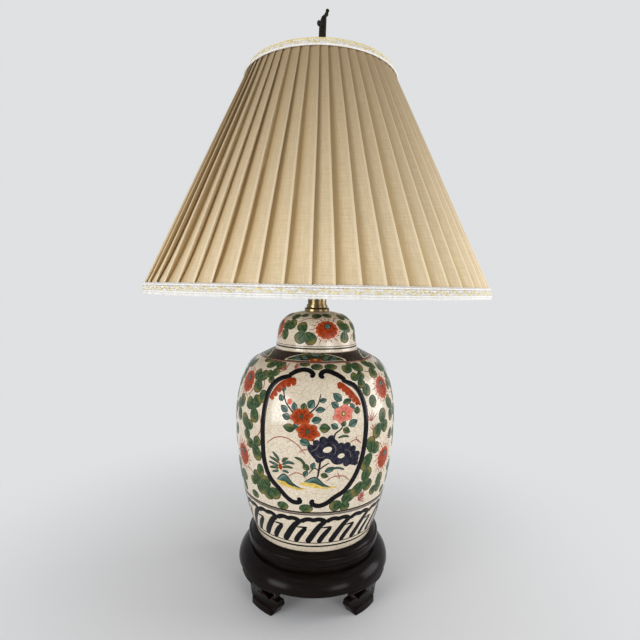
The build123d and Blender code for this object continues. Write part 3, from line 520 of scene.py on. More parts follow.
JAR_CHART, LID_CHART = Chart(JAR_SIDE, JAR_R), Chart(LID_SIDE, LID_R)
ENAMELS = {
    "navy": enamel_finish("navy_enamel", (0.003, 0.0027, 0.0036), (0.007, 0.0063, 0.0085)),
    "slate": enamel_finish("rock_slate", (0.006, 0.006, 0.012), (0.034, 0.033, 0.054)),
    "red": enamel_finish("iron_red", (0.22, 0.022, 0.003), (0.37, 0.044, 0.006), (0.44, 0.085, 0.020)),
    "rose": enamel_finish("rose_red", (0.52, 0.09, 0.055), (0.64, 0.16, 0.11), (0.70, 0.26, 0.19)),
    "green": enamel_finish("leaf_green", (0.020, 0.048, 0.020), (0.068, 0.115, 0.045), (0.22, 0.17, 0.045)),
    "dark": enamel_finish("dark_green", (0.012, 0.024, 0.012), (0.024, 0.040, 0.018)),
    "teal": enamel_finish("teal_enamel", (0.026, 0.068, 0.056), (0.070, 0.135, 0.115), (0.20, 0.28, 0.25)),
    "ochre": enamel_finish("yellow_ochre", (0.50, 0.33, 0.06), (0.70, 0.52, 0.14)),
    "brown": enamel_finish("band_brown", (0.020, 0.012, 0.010), (0.042, 0.027, 0.022)),
    "line": enamel_finish("line_red", (0.24, 0.055, 0.04), (0.34, 0.10, 0.07)),
    "grey": enamel_finish("line_grey", (0.10, 0.085, 0.075), (0.17, 0.145, 0.125)),
    "cream": enamel_finish("reserve_cream", *CREAM),
}
PAINT = {ink: [] for ink in ENAMELS}


def smooth(points, spans):
    """Line through given points: on each span the cubic that has its neighbours' mean slopes."""
    p = np.asarray(points, float)
    p = np.vstack([2 * p[0] - p[1], p, 2 * p[-1] - p[-2]])
    a, b, c, d = (p[i:len(p) - 3 + i, None] for i in range(4))
    s = np.linspace(0, 1, spans, endpoint=False)[None, :, None]
    line = 0.5 * (2 * b + (c - a) * s + (2 * a - 5 * b + 4 * c - d) * s**2 + (3 * b - a - 3 * c + d) * s**3)
    return np.vstack([line.reshape(-1, p.shape[1]), p[-2]])


def stroke(ink, path, lift=LIFT, chart=JAR_CHART, spans=6, turns=None):
    """Raised brush line along (girth, up, width) points: across it the lift falls as one minus the sixth
    power, from an edge under the glaze, and its ends are round. It is drawn again at each turn."""
    line = smooth(path, spans)
    wide = chart.stretch(line[:, 1])
    run = np.gradient(line[:, :2], axis=0) / np.column_stack([wide, np.ones(len(line))])
    size = np.linalg.norm(run, axis=1)
    across = np.column_stack([run[:, 1] / size * wide, -run[:, 0] / size])
    along = np.concatenate([[0.0], np.cumsum((size[1:] + size[:-1]) / 2)])
    end = np.clip(2 * np.minimum(along, along[-1] - along) / line[:, 2], 0.05, 1)
    half = line[:, 2] / 2 * np.sqrt(1 - (1 - end) ** 2)
    c = STROKE_ACROSS
    spot = line[:, None, :2] + across[:, None] * (c * half[:, None])[..., None]
    height = np.broadcast_to(lift * (1 - c**6) - SINK, spot.shape[:2])
    for turn in turns or chart.turns:
        PAINT[ink].append(grid(chart.place(spot[..., 0] + turn, spot[..., 1], height)))


def patch(ink, at, outline, lift=LIFT, tip=None, chart=JAR_CHART, turns=None):
    """Spot of enamel: an outline about a place, shrunk on rings towards its middle, the lift rising as one
    minus the twelfth power. Its wash grows along the tip's direction, or else with the radius."""
    s = PATCH_RINGS[:, None]
    middle = outline.mean(0)
    local = middle + s[..., None] * (outline - middle)
    wash = s
    if tip is not None:
        reach = local @ np.array(tip)
        wash = (reach - reach.min()) / np.ptp(reach)
    girth = at[0] + local[..., 0] * chart.stretch(at[1])
    height = np.broadcast_to(lift * (1 - s**12) - SINK, girth.shape)
    for turn in turns or chart.turns:
        spot = chart.place(girth + turn, at[1] + local[..., 1], height)
        PAINT[ink].append(grid(spot, False, True, wash=wash))


def ring_line(ink, up, width, chart=JAR_CHART, lift=LIFT):
    """Line right round the side: flat across its width, with edges under the glaze."""
    flat = np.linspace(-RING_LINE_FLAT, RING_LINE_FLAT, 7 + int(width))
    across = np.concatenate([[-1.0], flat, [1.0]])
    round_side = np.linspace(0, 2 * np.pi * chart.girth_r, RING_SEGMENTS, endpoint=False)
    c, girth = np.meshgrid(across, round_side, indexing="ij")
    height = np.where(np.abs(c) < 1, lift, 0.0) - SINK
    PAINT[ink].append(grid(chart.place(girth, up + c * width / 2, height), False, True))


def thin_line(ink, points, ends, middle, lift=UNDER, chart=JAR_CHART, spans=5):
    """Stroke through (girth, up) points that has one width at its ends and another between them."""
    widths = [ends] + [middle] * (len(points) - 2) + [ends]
    stroke(ink, np.column_stack([points, widths]), lift, chart, spans)


def heading(direction):
    """Unit step in a direction, degrees from the right."""
    return np.array([np.cos(np.radians(direction)), np.sin(np.radians(direction))])


def turned_outline(ring, direction):
    """Outline turned about its place."""
    x, y = heading(direction)
    return ring @ np.array([[x, y], [-y, x]])


def oval(half_wide, half_high, tilt=0.0, scallops=0, depth=0.0):
    """Oval outline, its radius swelling in so many scallops."""
    a = np.linspace(0, 2 * np.pi, max(20, scallops * 5), endpoint=False)
    swell = 1 - depth * (1 - np.abs(np.cos(scallops * a / 2)))
    ring = np.column_stack([half_wide * np.cos(a) * swell, half_high * np.sin(a) * swell])
    return turned_outline(ring, tilt)


def two_sides(s, half):
    """Outline from half-widths along a line: out on the right side and back on the left."""
    return np.vstack([np.column_stack([s, -half]), np.column_stack([s, half])[-2:0:-1]])


def blade(length, width, direction):
    """Pointed leaf from its foot to its tip: half-width as a sine along its length, with powers that fill it
    out nearer to its foot."""
    s = np.linspace(0, 1, 11)
    return turned_outline(two_sides(s * length, width / 2 * np.sin(np.pi * s**0.85) ** 0.8), direction)


def lobe(length, width, direction):
    """Egg-shaped lobe from its foot: two quarter ovals that meet where it is fullest."""
    full = 0.62
    s = (1 - np.cos(np.pi * np.linspace(0, 1, 11))) / 2
    x = np.where(s < full, (full - s) / full, (s - full) / (1 - full))
    return turned_outline(two_sides(s * length, width / 2 * np.sqrt(1 - x**2)), direction)


def blot(ink, points, lift):
    """Patch with a smooth closed outline through given points."""
    p = np.array(points, float)
    middle = p.mean(0)
    ring = smooth(np.vstack([p[-1], p, p[:2]]), 4)[4:-5] - middle
    patch(ink, middle, ring / np.array([JAR_CHART.stretch(middle[1]), 1.0]), lift)


def round_leaf(at, half_wide, half_high):
    """Small round scroll leaf: dark edge, green body with a yellow side, and a vein."""
    at = np.array(at, float)
    patch("dark", at, oval(half_wide + DARK_EDGE, half_high + DARK_EDGE), UNDER)
    patch("green", at, oval(half_wide, half_high), tip=heading(-50))
    reach = 0.65 * half_high * heading(80)
    stroke("dark", [(*(at - reach), 1.2), (*(at + reach), 0.8)], OVER, spans=3)


def scroll_leaf(at, *tips, chart=JAR_CHART):
    """Lobed scroll leaf: an egg-shaped lobe from its middle to each tip, dark edged and yellow at the tip."""
    at = np.array(at, float)
    for layer in ("dark", "green", "vein"):
        for tip in np.array(tips, float):
            run = (tip - at) / np.array([chart.stretch(at[1]), 1.0])
            length, way = 1.1 * np.hypot(*run), np.degrees(np.arctan2(run[1], run[0]))
            width = min(0.92 * length, 14.0)
            if layer == "dark":
                patch("dark", at, lobe(length + 0.7, width + 1.3, way), UNDER, chart=chart)
            elif layer == "green":
                patch("green", at, lobe(length, width, way), tip=heading(way - 20), chart=chart)
            else:
                ends = at + np.array([[0.1], [0.5], [0.85]]) * (tip - at)
                stroke("dark", np.column_stack([ends, [1.5, 1.3, 0.8]]), OVER, chart, 3)


def rays(ink, at, half_wide, half_high, near, far, count, widths, lift, chart=JAR_CHART, lean=0.0):
    """Short lines about a place, between two shares of an oval, each third one longer, leaning sideways."""
    wide = np.array([chart.stretch(at[1]), 1.0])
    for i in range(count):
        way = heading(360 / count * (i + 0.3)) * (half_wide, half_high)
        side = np.array([-way[1], way[0]]) * lean
        ends = (near * way, (far + 0.12 * (i % 3)) * way + side)
        stroke(ink, [(*(at + end * wide), width) for end, width in zip(ends, widths)], lift, chart, 3)


def lotus(at, half_wide, half_high, chart=JAR_CHART):
    """Scroll lotus: a fringe of pale petals with sketched lines, a ragged red disc and a teal heart."""
    at = np.array(at, float)
    for ink, size, lift in (("line", 1.16, 0.10), ("cream", 1.11, 0.16), ("rose", 1.01, 0.20)):
        patch(ink, at, oval(half_wide * size, half_high * size, 10, 17, 0.14), lift, chart=chart)
    rays("line", at, half_wide, half_high, 0.85, 1.16, 17, (1.1, 0.7), LOTUS_LINE_LIFT, chart, 0.14)
    patch("red", at, oval(half_wide * 0.95, half_high * 0.95, 0, 13, 0.1), LOTUS_DISC_LIFT, chart=chart)
    rays("brown", at, half_wide, half_high, 0.45, 0.74, 11, (0.6, 0.9), OVER, chart)
    heart = at + (0.06 * half_wide, 0.3 * half_high)
    patch("navy", heart, oval(4.6, 4.0, 0, 8, 0.1), HEART_EDGE_LIFT, chart=chart)
    patch("teal", heart, oval(3.5, 3.0), LOTUS_HEART_LIFT, chart=chart)


def bud(at, size, way):
    """Sketched bud: a fan of thin red lines from a foot, each second one shorter."""
    at = np.array(at, float)
    for i, turn in enumerate((-60, -35, -14, 8, 30, 55)):
        reach = size * (1.0 - 0.14 * (i % 2)) * heading(way + turn)
        stroke("line", [(*at, 0.8), (*(at + 0.6 * reach), 1.5), (*(at + reach), 0.6)], UNDER, spans=3)


def leaves(ink, *rows):
    """Pointed leaves as (girth, up, length, width, direction) at the middle, with a dark edge and a vein."""
    for girth, up, length, width, way in rows:
        run = length / 2 * heading(way)
        foot, tip = np.array([girth, up]) - run, np.array([girth, up]) + run
        patch("dark", foot, blade(length + 0.7, width + 1.2, way), UNDER)
        patch(ink, foot, blade(length, width, way), tip=heading(way - 90))
        stroke("dark", [(*foot, 1.0), (*(0.2 * foot + 0.8 * tip), 0.7)], OVER, spans=3)


def blossom(ink, at, half_wide, half_high, heart, tilt):
    """Garden flower: scalloped petals with darker dividing lines, a dark edge and a coloured heart."""
    at = np.array(at, float)
    patch("line", at, oval(half_wide + DARK_EDGE, half_high + DARK_EDGE, tilt, 6, 0.26), UNDER)
    patch(ink, at, oval(half_wide, half_high, tilt, 6, 0.26), PETAL_LIFT)
    rays("brown" if ink == "red" else "line", at, half_wide, half_high, 0.3, 0.62, 8, (0.7, 1.0), OVER)
    patch("dark", at, oval(0.2 * half_wide, 0.32 * half_high, 0, 5, 0.15), HEART_EDGE_LIFT)
    patch(heart, at, oval(0.13 * half_wide, 0.22 * half_high, 0, 5, 0.15), HEART_LIFT)


# Panel border: a hooked head and a long side, left and right
stroke("navy", [
    (-9, 216.5, 5), (-6.5, 220.5, 5.8), (-11, 225, 6.2), (-20, 226.4, 6.6), (-29, 223.6, 6.6),
    (-35, 219.8, 6), (-37.6, 217.4, 5),
], BORDER_HEAD_LIFT, spans=10)
stroke("navy", [
    (-33, 217.8, 4.4), (-41.5, 215.8, 5.8), (-50, 212, 6.2), (-57, 205.2, 6.6), (-61.5, 194.5, 6.8),
    (-63.7, 172, 6.8), (-64, 150, 6.9), (-62.5, 121, 6.9), (-55.5, 102.3, 6.6), (-44, 91, 6.2),
    (-35, 82, 6), (-27, 77.3, 6), (-19.3, 78.3, 5.8), (-20.8, 83.8, 5),
], BORDER_LIFT, spans=10)
stroke("navy", [
    (7.4, 216, 5), (3.6, 219.5, 5.8), (7, 224, 6.2), (14, 224.8, 6.6), (24, 220.4, 6.6), (32, 215, 5.8),
    (34.6, 212.8, 4.8),
], BORDER_HEAD_LIFT, spans=10)
stroke("navy", [
    (29.5, 213.4, 4.2), (37.5, 210.2, 5.8), (46, 205.4, 6.4), (53, 195.2, 6.8), (56.7, 177, 6.9),
    (56.5, 155, 6.9), (53, 128, 6.8), (45.5, 107.5, 6.5), (34, 91.5, 6.2), (21, 83.5, 6), (11, 76.5, 6),
    (2, 74, 6), (-5, 77, 5.8), (-3.6, 82, 5),
], BORDER_LIFT, spans=10)

# Panel picture: red clouds under the border's heads
stroke("red", [
    (-26.5, 212, 7.5), (-33, 212, 7.6), (-38.5, 210.4, 6.4), (-44, 208, 6), (-49, 203.6, 5.2),
    (-53.5, 197.4, 4.8), (-57.5, 190, 3),
], CLOUD_LIFT)
stroke("red", [
    (23.5, 209.8, 6.5), (29, 207, 6.8), (33.5, 204, 6), (38, 200.4, 5.8), (43, 195.2, 5.2),
    (47, 190.2, 4.6), (50.5, 184.8, 3),
], CLOUD_LIFT)
for girth, up, size in (
    (-29.5, 209.4, 3), (-36, 207.6, 3.2), (-42, 205, 3.2), (-46.8, 200.8, 3), (-50.8, 195.8, 2.8),
    (-54.2, 191.4, 2.4), (26.3, 206.4, 3), (31.3, 203, 3), (35, 199.2, 3), (38.7, 195.2, 3),
    (42.4, 190.8, 2.6), (46, 187.2, 2.4),
):
    patch("red", (girth, up), oval(size, size), CLOUD_SPOT_LIFT)

# Panel picture: twigs, leaves and blossoms
for twig in (
    [(-41.5, 206, 1.8), (-39.8, 197, 1.5), (-36, 188, 1.5), (-26, 177, 1.8)],
    [(-10, 178, 1.4), (-4, 183, 1.7), (0.5, 189, 1.5), (3.6, 199.5, 1)],
    [(17.5, 151, 2.2), (19.5, 157, 1.8), (26, 162, 1.6), (28.8, 170, 1.5)],
    [(-8, 158, 1.6), (-5, 151, 1.8), (-2, 146, 1.8)],
    [(3.5, 127, 2.4), (2.4, 118, 2.4), (0.8, 108, 2)],
    [(2.5, 117.5, 1.6), (7, 121, 1.6), (13.5, 125, 1.4)],
    [(2.5, 116, 1.4), (-3, 119, 1.3), (-9, 112.5, 1.2)],
):
    stroke("brown", twig)
leaves(
    "teal", (-41, 203, 7.5, 5, 80), (-42.5, 192.5, 8, 5.5, 120), (-37.5, 181.5, 10.5, 6.5, 140),
    (-34.5, 173.5, 9.5, 6.5, 165), (-26, 184.5, 9, 6, 100), (-7.5, 188, 10.5, 8, 60),
    (2.5, 182.3, 10.5, 5.5, 5), (-1.5, 171.5, 11, 7, 10), (5.5, 192, 8, 4.5, 15), (23, 195, 12.5, 8, 140),
    (19.5, 187, 9.5, 7, 145), (40, 184.5, 8, 5, 130), (18.5, 164.5, 9, 6, 150), (39.5, 166.5, 12, 8, 25),
    (-13.5, 147.5, 12, 7.5, -20), (14, 117, 12.5, 5.5, 20), (-4.5, 121.5, 8, 5, 70),
    (-12.5, 112.5, 8, 5, 60), (-23.5, 164.3, 6.5, 5, 150),
)
leaves(
    "green", (-15.5, 185, 7.5, 6.5, 80), (-31, 162, 14, 8.5, 170), (7.5, 163, 12, 9.5, 0),
    (33.5, 190, 11, 6, 15), (45.5, 179.5, 8, 7, 80), (28.5, 167, 7, 5.5, 100), (31.5, 159.5, 9, 6.5, -30),
    (8, 110.5, 8.5, 5.5, -20), (-12, 120, 9, 6, -40),
)
patch("rose", (-32, 189.5), oval(3, 3.6, 0, 5, 0.15), ROSEBUD_LIFT)
blossom("red", (-18, 175), 13.4, 9.8, "green", 8)
blossom("red", (-10.5, 159), 13.8, 10, "green", -14)
blossom("rose", (28.5, 177.5), 12.8, 10, "ochre", 20)

# Panel picture: rocks with holes, scalloped edges and veins
blot("slate", [
    (-10.5, 140.5), (-4, 145.5), (8, 151.8), (14.5, 153), (20, 150.5), (23.5, 145.5), (24, 134),
    (19, 126.5), (10.5, 129.5), (5, 126.5), (-1, 128), (-6.5, 133.5),
], REAR_ROCK_LIFT)
blot("slate", [
    (16, 140), (22, 145), (28, 143.6), (34, 144), (39.5, 140.5), (44.5, 134.5), (48, 129), (47.5, 123.5),
    (43, 119.5), (36, 121), (29, 122.8), (22, 122), (16, 125), (13.5, 132),
], FRONT_ROCK_LIFT)
for girth, up, size in (
    (-7, 142, 4), (-1, 147, 4), (6, 150.6, 4.2), (15, 152, 4), (26, 143.2, 4), (33, 142.8, 4.2),
    (40, 138.5, 4), (45.5, 132, 3.8), (44, 121.8, 3.6), (33, 122.6, 4), (2, 128.5, 4),
):
    patch("slate", (girth, up), oval(size, size * 0.9), FRONT_ROCK_LIFT)
patch("cream", (11, 139.7), oval(5.4, 3.5, 15), ROCK_HOLE_LIFT)
patch("cream", (26.3, 132), oval(4.4, 2.9, 10), ROCK_HOLE_LIFT)
for vein in (
    [(-6, 138), (-1, 141), (2, 146)], [(16, 146), (20, 141), (19, 134)],
    [(31, 139), (36, 136), (38, 129)], [(-1, 134), (4, 131), (9, 133)],
):
    thin_line("grey", vein, 0.9, 1.3, ROCK_VEIN_LIFT, spans=4)

# Panel picture: grass and its flower
for i, grass in enumerate((
    [(-42, 124, 1.4), (-46, 129, 2.8), (-51, 133, 0.8)],
    [(-42, 121, 1.4), (-48, 124.5, 2.8), (-55, 126.5, 0.8)],
    [(-43, 118, 1.4), (-49, 119.6, 2.8), (-56, 121, 0.8)],
    [(-43, 115.5, 1.4), (-49, 115.6, 2.6), (-55, 114.5, 0.8)],
    [(-43, 113, 1.4), (-47, 111.5, 2.4), (-52, 110, 0.8)],
    [(-39, 123, 1.4), (-36, 126.5, 3), (-31.5, 128.3, 0.8)],
    [(-39, 120, 1.4), (-32, 123.8, 3), (-24, 122.5, 0.8)],
    [(-39, 117, 1.4), (-33, 118.6, 2.6), (-26, 117.6, 0.8)],
    [(-39, 113, 1.4), (-35, 113, 2.4), (-31, 111.5, 0.8)],
    [(-25, 130.5, 1), (-17, 127.5, 2.6), (-11.5, 120, 1.2)],
    [(17, 118, 1.4), (24, 118.5, 2), (31, 115.8, 0.8)],
    [(22, 152, 0.8), (29, 153.6, 2), (35, 152.4, 0.8)],
)):
    stroke("dark", [(girth, up, width + 1.1) for girth, up, width in grass], UNDER, spans=4)
    stroke(("teal", "green")[i % 2], grass, spans=4)
stroke("line", [(-44, 125, 0.8), (-42.6, 121.5, 1.5), (-41, 117, 1.8)], OVER, spans=4)
patch("red", (-41, 117.5), oval(2.3, 4, 10), GRASS_FLOWER_LIFT)

# Panel picture: shore, hills and sketched arches
blot("ochre", [(-47, 100.5), (-36, 102), (-22, 96.5), (-11, 94.5), (-22, 92.8), (-40, 96)], SHORE_LIFT)
blot("ochre", [(-20, 101), (-3, 103.5), (14, 98), (25, 96.5), (12, 94.6), (-8, 97)], SHORE_LIFT)
blot("teal", [(-46.5, 102), (-36.5, 109.6), (-27, 100), (-17, 94.5), (-27, 96.5), (-36, 101)], HILL_LIFT)
blot("teal", [(-14, 103), (-2, 108.6), (8, 100.5), (16, 96.3), (7, 97.5), (-5, 102.5)], HILL_LIFT)
for slope in (
    [(-46.5, 102, 1), (-36.5, 109.6, 1.6), (-27, 100, 1.4), (-17, 94.5, 1)],
    [(-14, 103, 1), (-2, 108.6, 1.6), (8, 100.5, 1.4), (16, 96.3, 1)],
    [(-39, 104, 0.9), (-33, 99.5, 1.4), (-26, 96.4, 0.9)],
    [(-5, 104.5, 0.9), (1, 101.5, 1.4), (8, 97.6, 0.9)],
):
    stroke("dark", slope, HILL_LINE_LIFT, spans=5)
for arch in (
    [(-59, 140.5), (-47, 149.5), (-33.5, 150.6), (-21, 144), (-12.5, 134)],
    [(33, 143.5), (40, 147.4), (46, 147.4), (50.5, 142.5)],
    [(10, 103.5), (18, 108.4), (30, 108.4), (38.5, 102)],
    [(-33, 107), (-24, 112.5), (-16.5, 111.5), (-11, 106)], [(-20, 136), (-14, 139.5), (-9, 139)],
    [(43, 152), (45, 147.4), (48, 143.5)], [(23, 113), (25, 109), (25.5, 105)],
):
    thin_line("line", arch, 0.9, 1.2)

# Lotus scroll beside the panel and on to the next panel, half a turn away
for at in ((-104, 203), (-103, 117), (93, 199), (92, 117), (151, 158)):
    lotus(at, 14.5, 15)
for at, *tips in (
    ((-64, 229), (-80, 231), (-65, 237), (-50, 231)), ((-62, 215), (-71, 218), (-56, 223), (-60, 208)),
    ((-81, 209), (-92, 217), (-71, 217), (-80, 195)), ((-81, 177), (-74, 189), (-94, 182), (-77, 162)),
    ((-88, 150), (-100, 164), (-84, 160), (-94, 140)), ((-79, 137), (-69, 142), (-90, 134), (-71, 120)),
    ((-111, 171), (-106, 185), (-122, 176), (-113, 157)), ((-77, 91), (-75, 104), (-88, 91), (-67, 81)),
    ((-57, 89), (-67, 99), (-62, 76), (-46, 80)), ((50, 228), (36, 226), (50, 236), (68, 229)),
    ((54, 213), (45, 218), (62, 219), (58, 204)), ((86, 225), (82, 237), (98, 228), (83, 212)),
    ((82, 160), (88, 174), (71, 147), (95, 152)), ((104, 172), (103, 187), (115, 178), (111, 159)),
    ((67, 129), (64, 146), (78, 136), (55, 113)), ((57, 97), (65, 111), (46, 83), (70, 88)),
    ((31, 76), (45, 87), (18, 71), (38, 67)), ((82, 86), (93, 96), (75, 77), (93, 79)),
    ((118, 216), (107, 226), (131, 226), (122, 202)), ((133, 191), (123, 203), (147, 198), (131, 176)),
    ((171, 191), (181, 204), (159, 200), (173, 176)), ((151, 224), (138, 232), (164, 232), (150, 208)),
    ((128, 161), (118, 171), (138, 169), (126, 150)), ((174, 161), (164, 169), (184, 171), (176, 150)),
    ((128, 136), (117, 144), (127, 121), (141, 134)), ((174, 136), (185, 144), (175, 120), (161, 133)),
    ((150, 104), (137, 113), (164, 113), (150, 89)), ((122, 93), (112, 104), (135, 98), (121, 77)),
    ((181, 93), (191, 105), (168, 98), (182, 77)), ((-113, 84), (-103, 94), (-125, 92), (-112, 70)),
    ((184, 219), (195, 229), (171, 227), (182, 205)),
):
    scroll_leaf(at, *tips)
for girth, up, half_wide, half_high in (
    (-89, 236, 6.5, 4.6), (-68, 191, 5.8, 7), (-69.5, 107, 5, 7.4), (-41, 70.5, 6.6, 4.6),
    (-12, 70.5, 7.4, 4.8), (-1.5, 231, 6.4, 4.6), (18.5, 231, 7, 4.6), (62.5, 200, 5.8, 6.8),
    (70, 186.5, 5.8, 6.8), (113, 199, 5.6, 6.6), (151, 184, 6, 5.6), (151, 132, 6, 5.6),
    (107, 142, 5.6, 6.6), (-122, 142, 5.6, 6.6), (150, 73, 6.6, 4.6), (105, 73, 6.4, 4.6),
    (-85, 73, 6.2, 4.6), (-20, 234.5, 5.6, 3.2),
):
    round_leaf((girth, up), half_wide, half_high)
for girth, up, size, way in (
    (-45, 224, 12, 150), (-34, 229, 10, 20), (65, 165, 13, 95), (69, 153, 10, 80), (54, 74, 12, 40),
    (61, 78, 9, 150), (-91, 130, 9, 60), (104, 138, 9, 120),
):
    bud((girth, up), size, way)
for tendril in (
    [(-70, 171), (-67, 160), (-69, 150), (-78, 142)], [(-74, 196), (-70, 203), (-73, 212)],
    [(-92, 190), (-88, 196), (-84, 203)], [(-95, 105), (-86, 102), (-80, 94)],
    [(62, 144), (69, 149), (77, 148), (82, 141)], [(75, 130), (81, 137), (86, 130)],
    [(66, 222), (75, 220), (82, 224)], [(105, 214), (112, 208), (118, 209)],
    [(111, 190), (119, 188), (128, 191)], [(136, 176), (143, 178), (151, 172)],
    [(166, 176), (159, 178), (153, 173)], [(107, 112), (116, 110), (124, 103)],
    [(134, 148), (138, 141), (146, 138)],
):
    thin_line("line", tendril, 1.0, 1.3)

# Shoulder band with four reserves, and the lines above and below the scroll
QUARTERS = tuple(np.arange(4) * np.pi / 2 * JAR_R)
RESERVE_MIDDLE = -4
ring_line("brown", 248.0, 18.8, lift=BAND_LIFT)
ring_line("line", 237.6, 1.4)
ring_line("grey", 62.5, 2.2)
ring_line("brown", 65, 2)
ring_line("brown", 22.6, 1.2)
ring_line("navy", 17.6, 2.2)
stroke("cream", [
    (-59, 241, 2.4), (-50, 244.2, 9), (-30, 247.6, 16.4), (-4, 248.4, 18), (22, 247.6, 16.4),
    (42, 244.2, 9), (51, 241, 2.4),
], RESERVE_LIFT, spans=10, turns=QUARTERS)
stroke("dark", [
    (-55, 241.6, 2), (-47, 244.4, 7.2), (-29, 247.6, 14.4), (-4, 248.4, 16), (21, 247.6, 14.4),
    (39, 244.4, 7.2), (47, 241.6, 2),
], RESERVE_GROUND_LIFT, spans=10, turns=QUARTERS)
for side in (-1, 1):
    for ink, girth, up, size, way in (
        ("green", 17, 249, 8, 20), ("teal", 26, 244.5, 7, -10), ("teal", 32, 247, 6, 30),
        ("green", 10, 252, 7, 60), ("teal", 14, 245, 7, 30), ("green", 36, 243.5, 6, 0),
        ("teal", 2, 250.5, 6, 80),
    ):
        leaf = lobe(size, 4.6, way if side > 0 else 180 - way)
        patch(ink, (RESERVE_MIDDLE + side * girth, up), leaf, RESERVE_LEAF_LIFT, turns=QUARTERS)
patch("red", (RESERVE_MIDDLE, 243.2), oval(9, 3.2, 0, 9, 0.18), RESERVE_FLOWER_LIFT, turns=QUARTERS)
patch("ochre", (RESERVE_MIDDLE, 243.4), oval(3, 1.4, 0, 7, 0.15), RESERVE_HEART_LIFT, turns=QUARTERS)

# Hooked lappets above the foot: long stroke, double arch, inner hook and its bar, repeated round
LAPPETS, LAPPET_START = 19, -10.5
ALL_ROUND = tuple(np.arange(LAPPETS) * 2 * np.pi * JAR_R / LAPPETS + LAPPET_START)
stroke("navy", [
    (-1, 22.8, 7.2), (4, 30.5, 7.6), (10.5, 40, 7.4), (17.4, 48.6, 6.8), (24, 53.4, 5.6),
], LAPPET_LIFT, turns=ALL_ROUND)
stroke("navy", [
    (-9, 52, 5.8), (-3.6, 55.2, 6), (2, 56.4, 5.8), (7.8, 55.2, 5.8), (13.8, 56.4, 5.8), (19.2, 55.2, 6),
    (24, 52.2, 5.8),
], LAPPET_ARCH_LIFT, spans=4, turns=ALL_ROUND)
stroke("navy", [
    (15, 22.8, 6.2), (19.8, 31, 6.6), (25.6, 38.5, 6.2), (31, 44.2, 4.2),
], LAPPET_LIFT, turns=ALL_ROUND)
stroke("navy", [
    (18, 44.8, 1.2), (24.5, 45, 2.4), (32.4, 44.8, 3.2),
], LAPPET_BAR_LIFT, spans=4, turns=ALL_ROUND)

# Lid
ring_line("brown", 4.6, 1.8, LID_CHART)
ring_line("grey", 7.2, 0.8, LID_CHART)
lotus((12, 27), 15.5, 13, LID_CHART)
lotus((92, 27), 15, 13, LID_CHART)
for at, *tips in (
    ((-16, 23), (-23, 34), (-26, 13), (-5, 12)), ((-42, 26), (-34, 37), (-51, 16), (-52, 34)),
    ((37, 25), (33, 37), (48, 30), (37, 12)), ((64, 24), (58, 34), (75, 31), (63, 11)),
    ((-30, 46), (-46, 45), (-20, 51)), ((54, 43), (39, 46), (70, 45)), ((8, 49), (-8, 47), (24, 49)),
    ((-74, 47), (-60, 47), (-92, 47)),
):
    scroll_leaf(at, *tips, chart=LID_CHART)
for tendril in (
    [(-28, 35), (-14, 42), (2, 40)], [(24, 38), (30, 43), (42, 41)], [(48, 14), (54, 19), (60, 17)],
    [(-58, 13), (-54, 19), (-50, 25)],
):
    thin_line("line", tendril, 1.0, 1.3, chart=LID_CHART)

for ink, finish in ENAMELS.items():
    piece("painted_" + ink, PAINT[ink], finish, "base", sharp=ENAMEL_SHARP, merge=True)


# Shade

def cone_r(z):
    """Radius of the shade's straight cone at a height."""
    return SHADE_BOTTOM_R + (SHADE_TOP_R - SHADE_BOTTOM_R) * (z - SHADE_LOW_Z) / SHADE_HEIGHT


def belly(z):
    """How far the pleats swell past the cone: a straight rise under the bottom trim, then a slow fall."""
    rise = np.clip((z - SHADE_LOW_Z) / (TRIM_BOTTOM_Z + TRIM_BOTTOM_HEIGHT - SHADE_LOW_Z), 0, 1)
    left = np.clip((TRIM_TOP_Z - z) / (TRIM_TOP_Z - TRIM_BOTTOM_Z), 0, 1)
    return SWELL * rise * left**SWELL_FALL * (1 - np.exp(-left * SWELL_TOP_FADE))


def cloth_r(z):
    """Radius of the pleats' outer edges at a height: the cone and the swell."""
    return cone_r(z) + belly(z)


# One pleat across: share of the pitch, and share of the depth below the outside
PLEAT_LINE = np.array([
    (-0.13, 1.00), (0.02, 0.97), (0.20, 0.80), (0.42, 0.54), (0.64, 0.30), (0.80, 0.12), (0.90, 0.02),
    (0.955, 0.00), (0.985, 0.08), (0.985, 0.22), (0.955, 0.45), (0.91, 0.80),
])


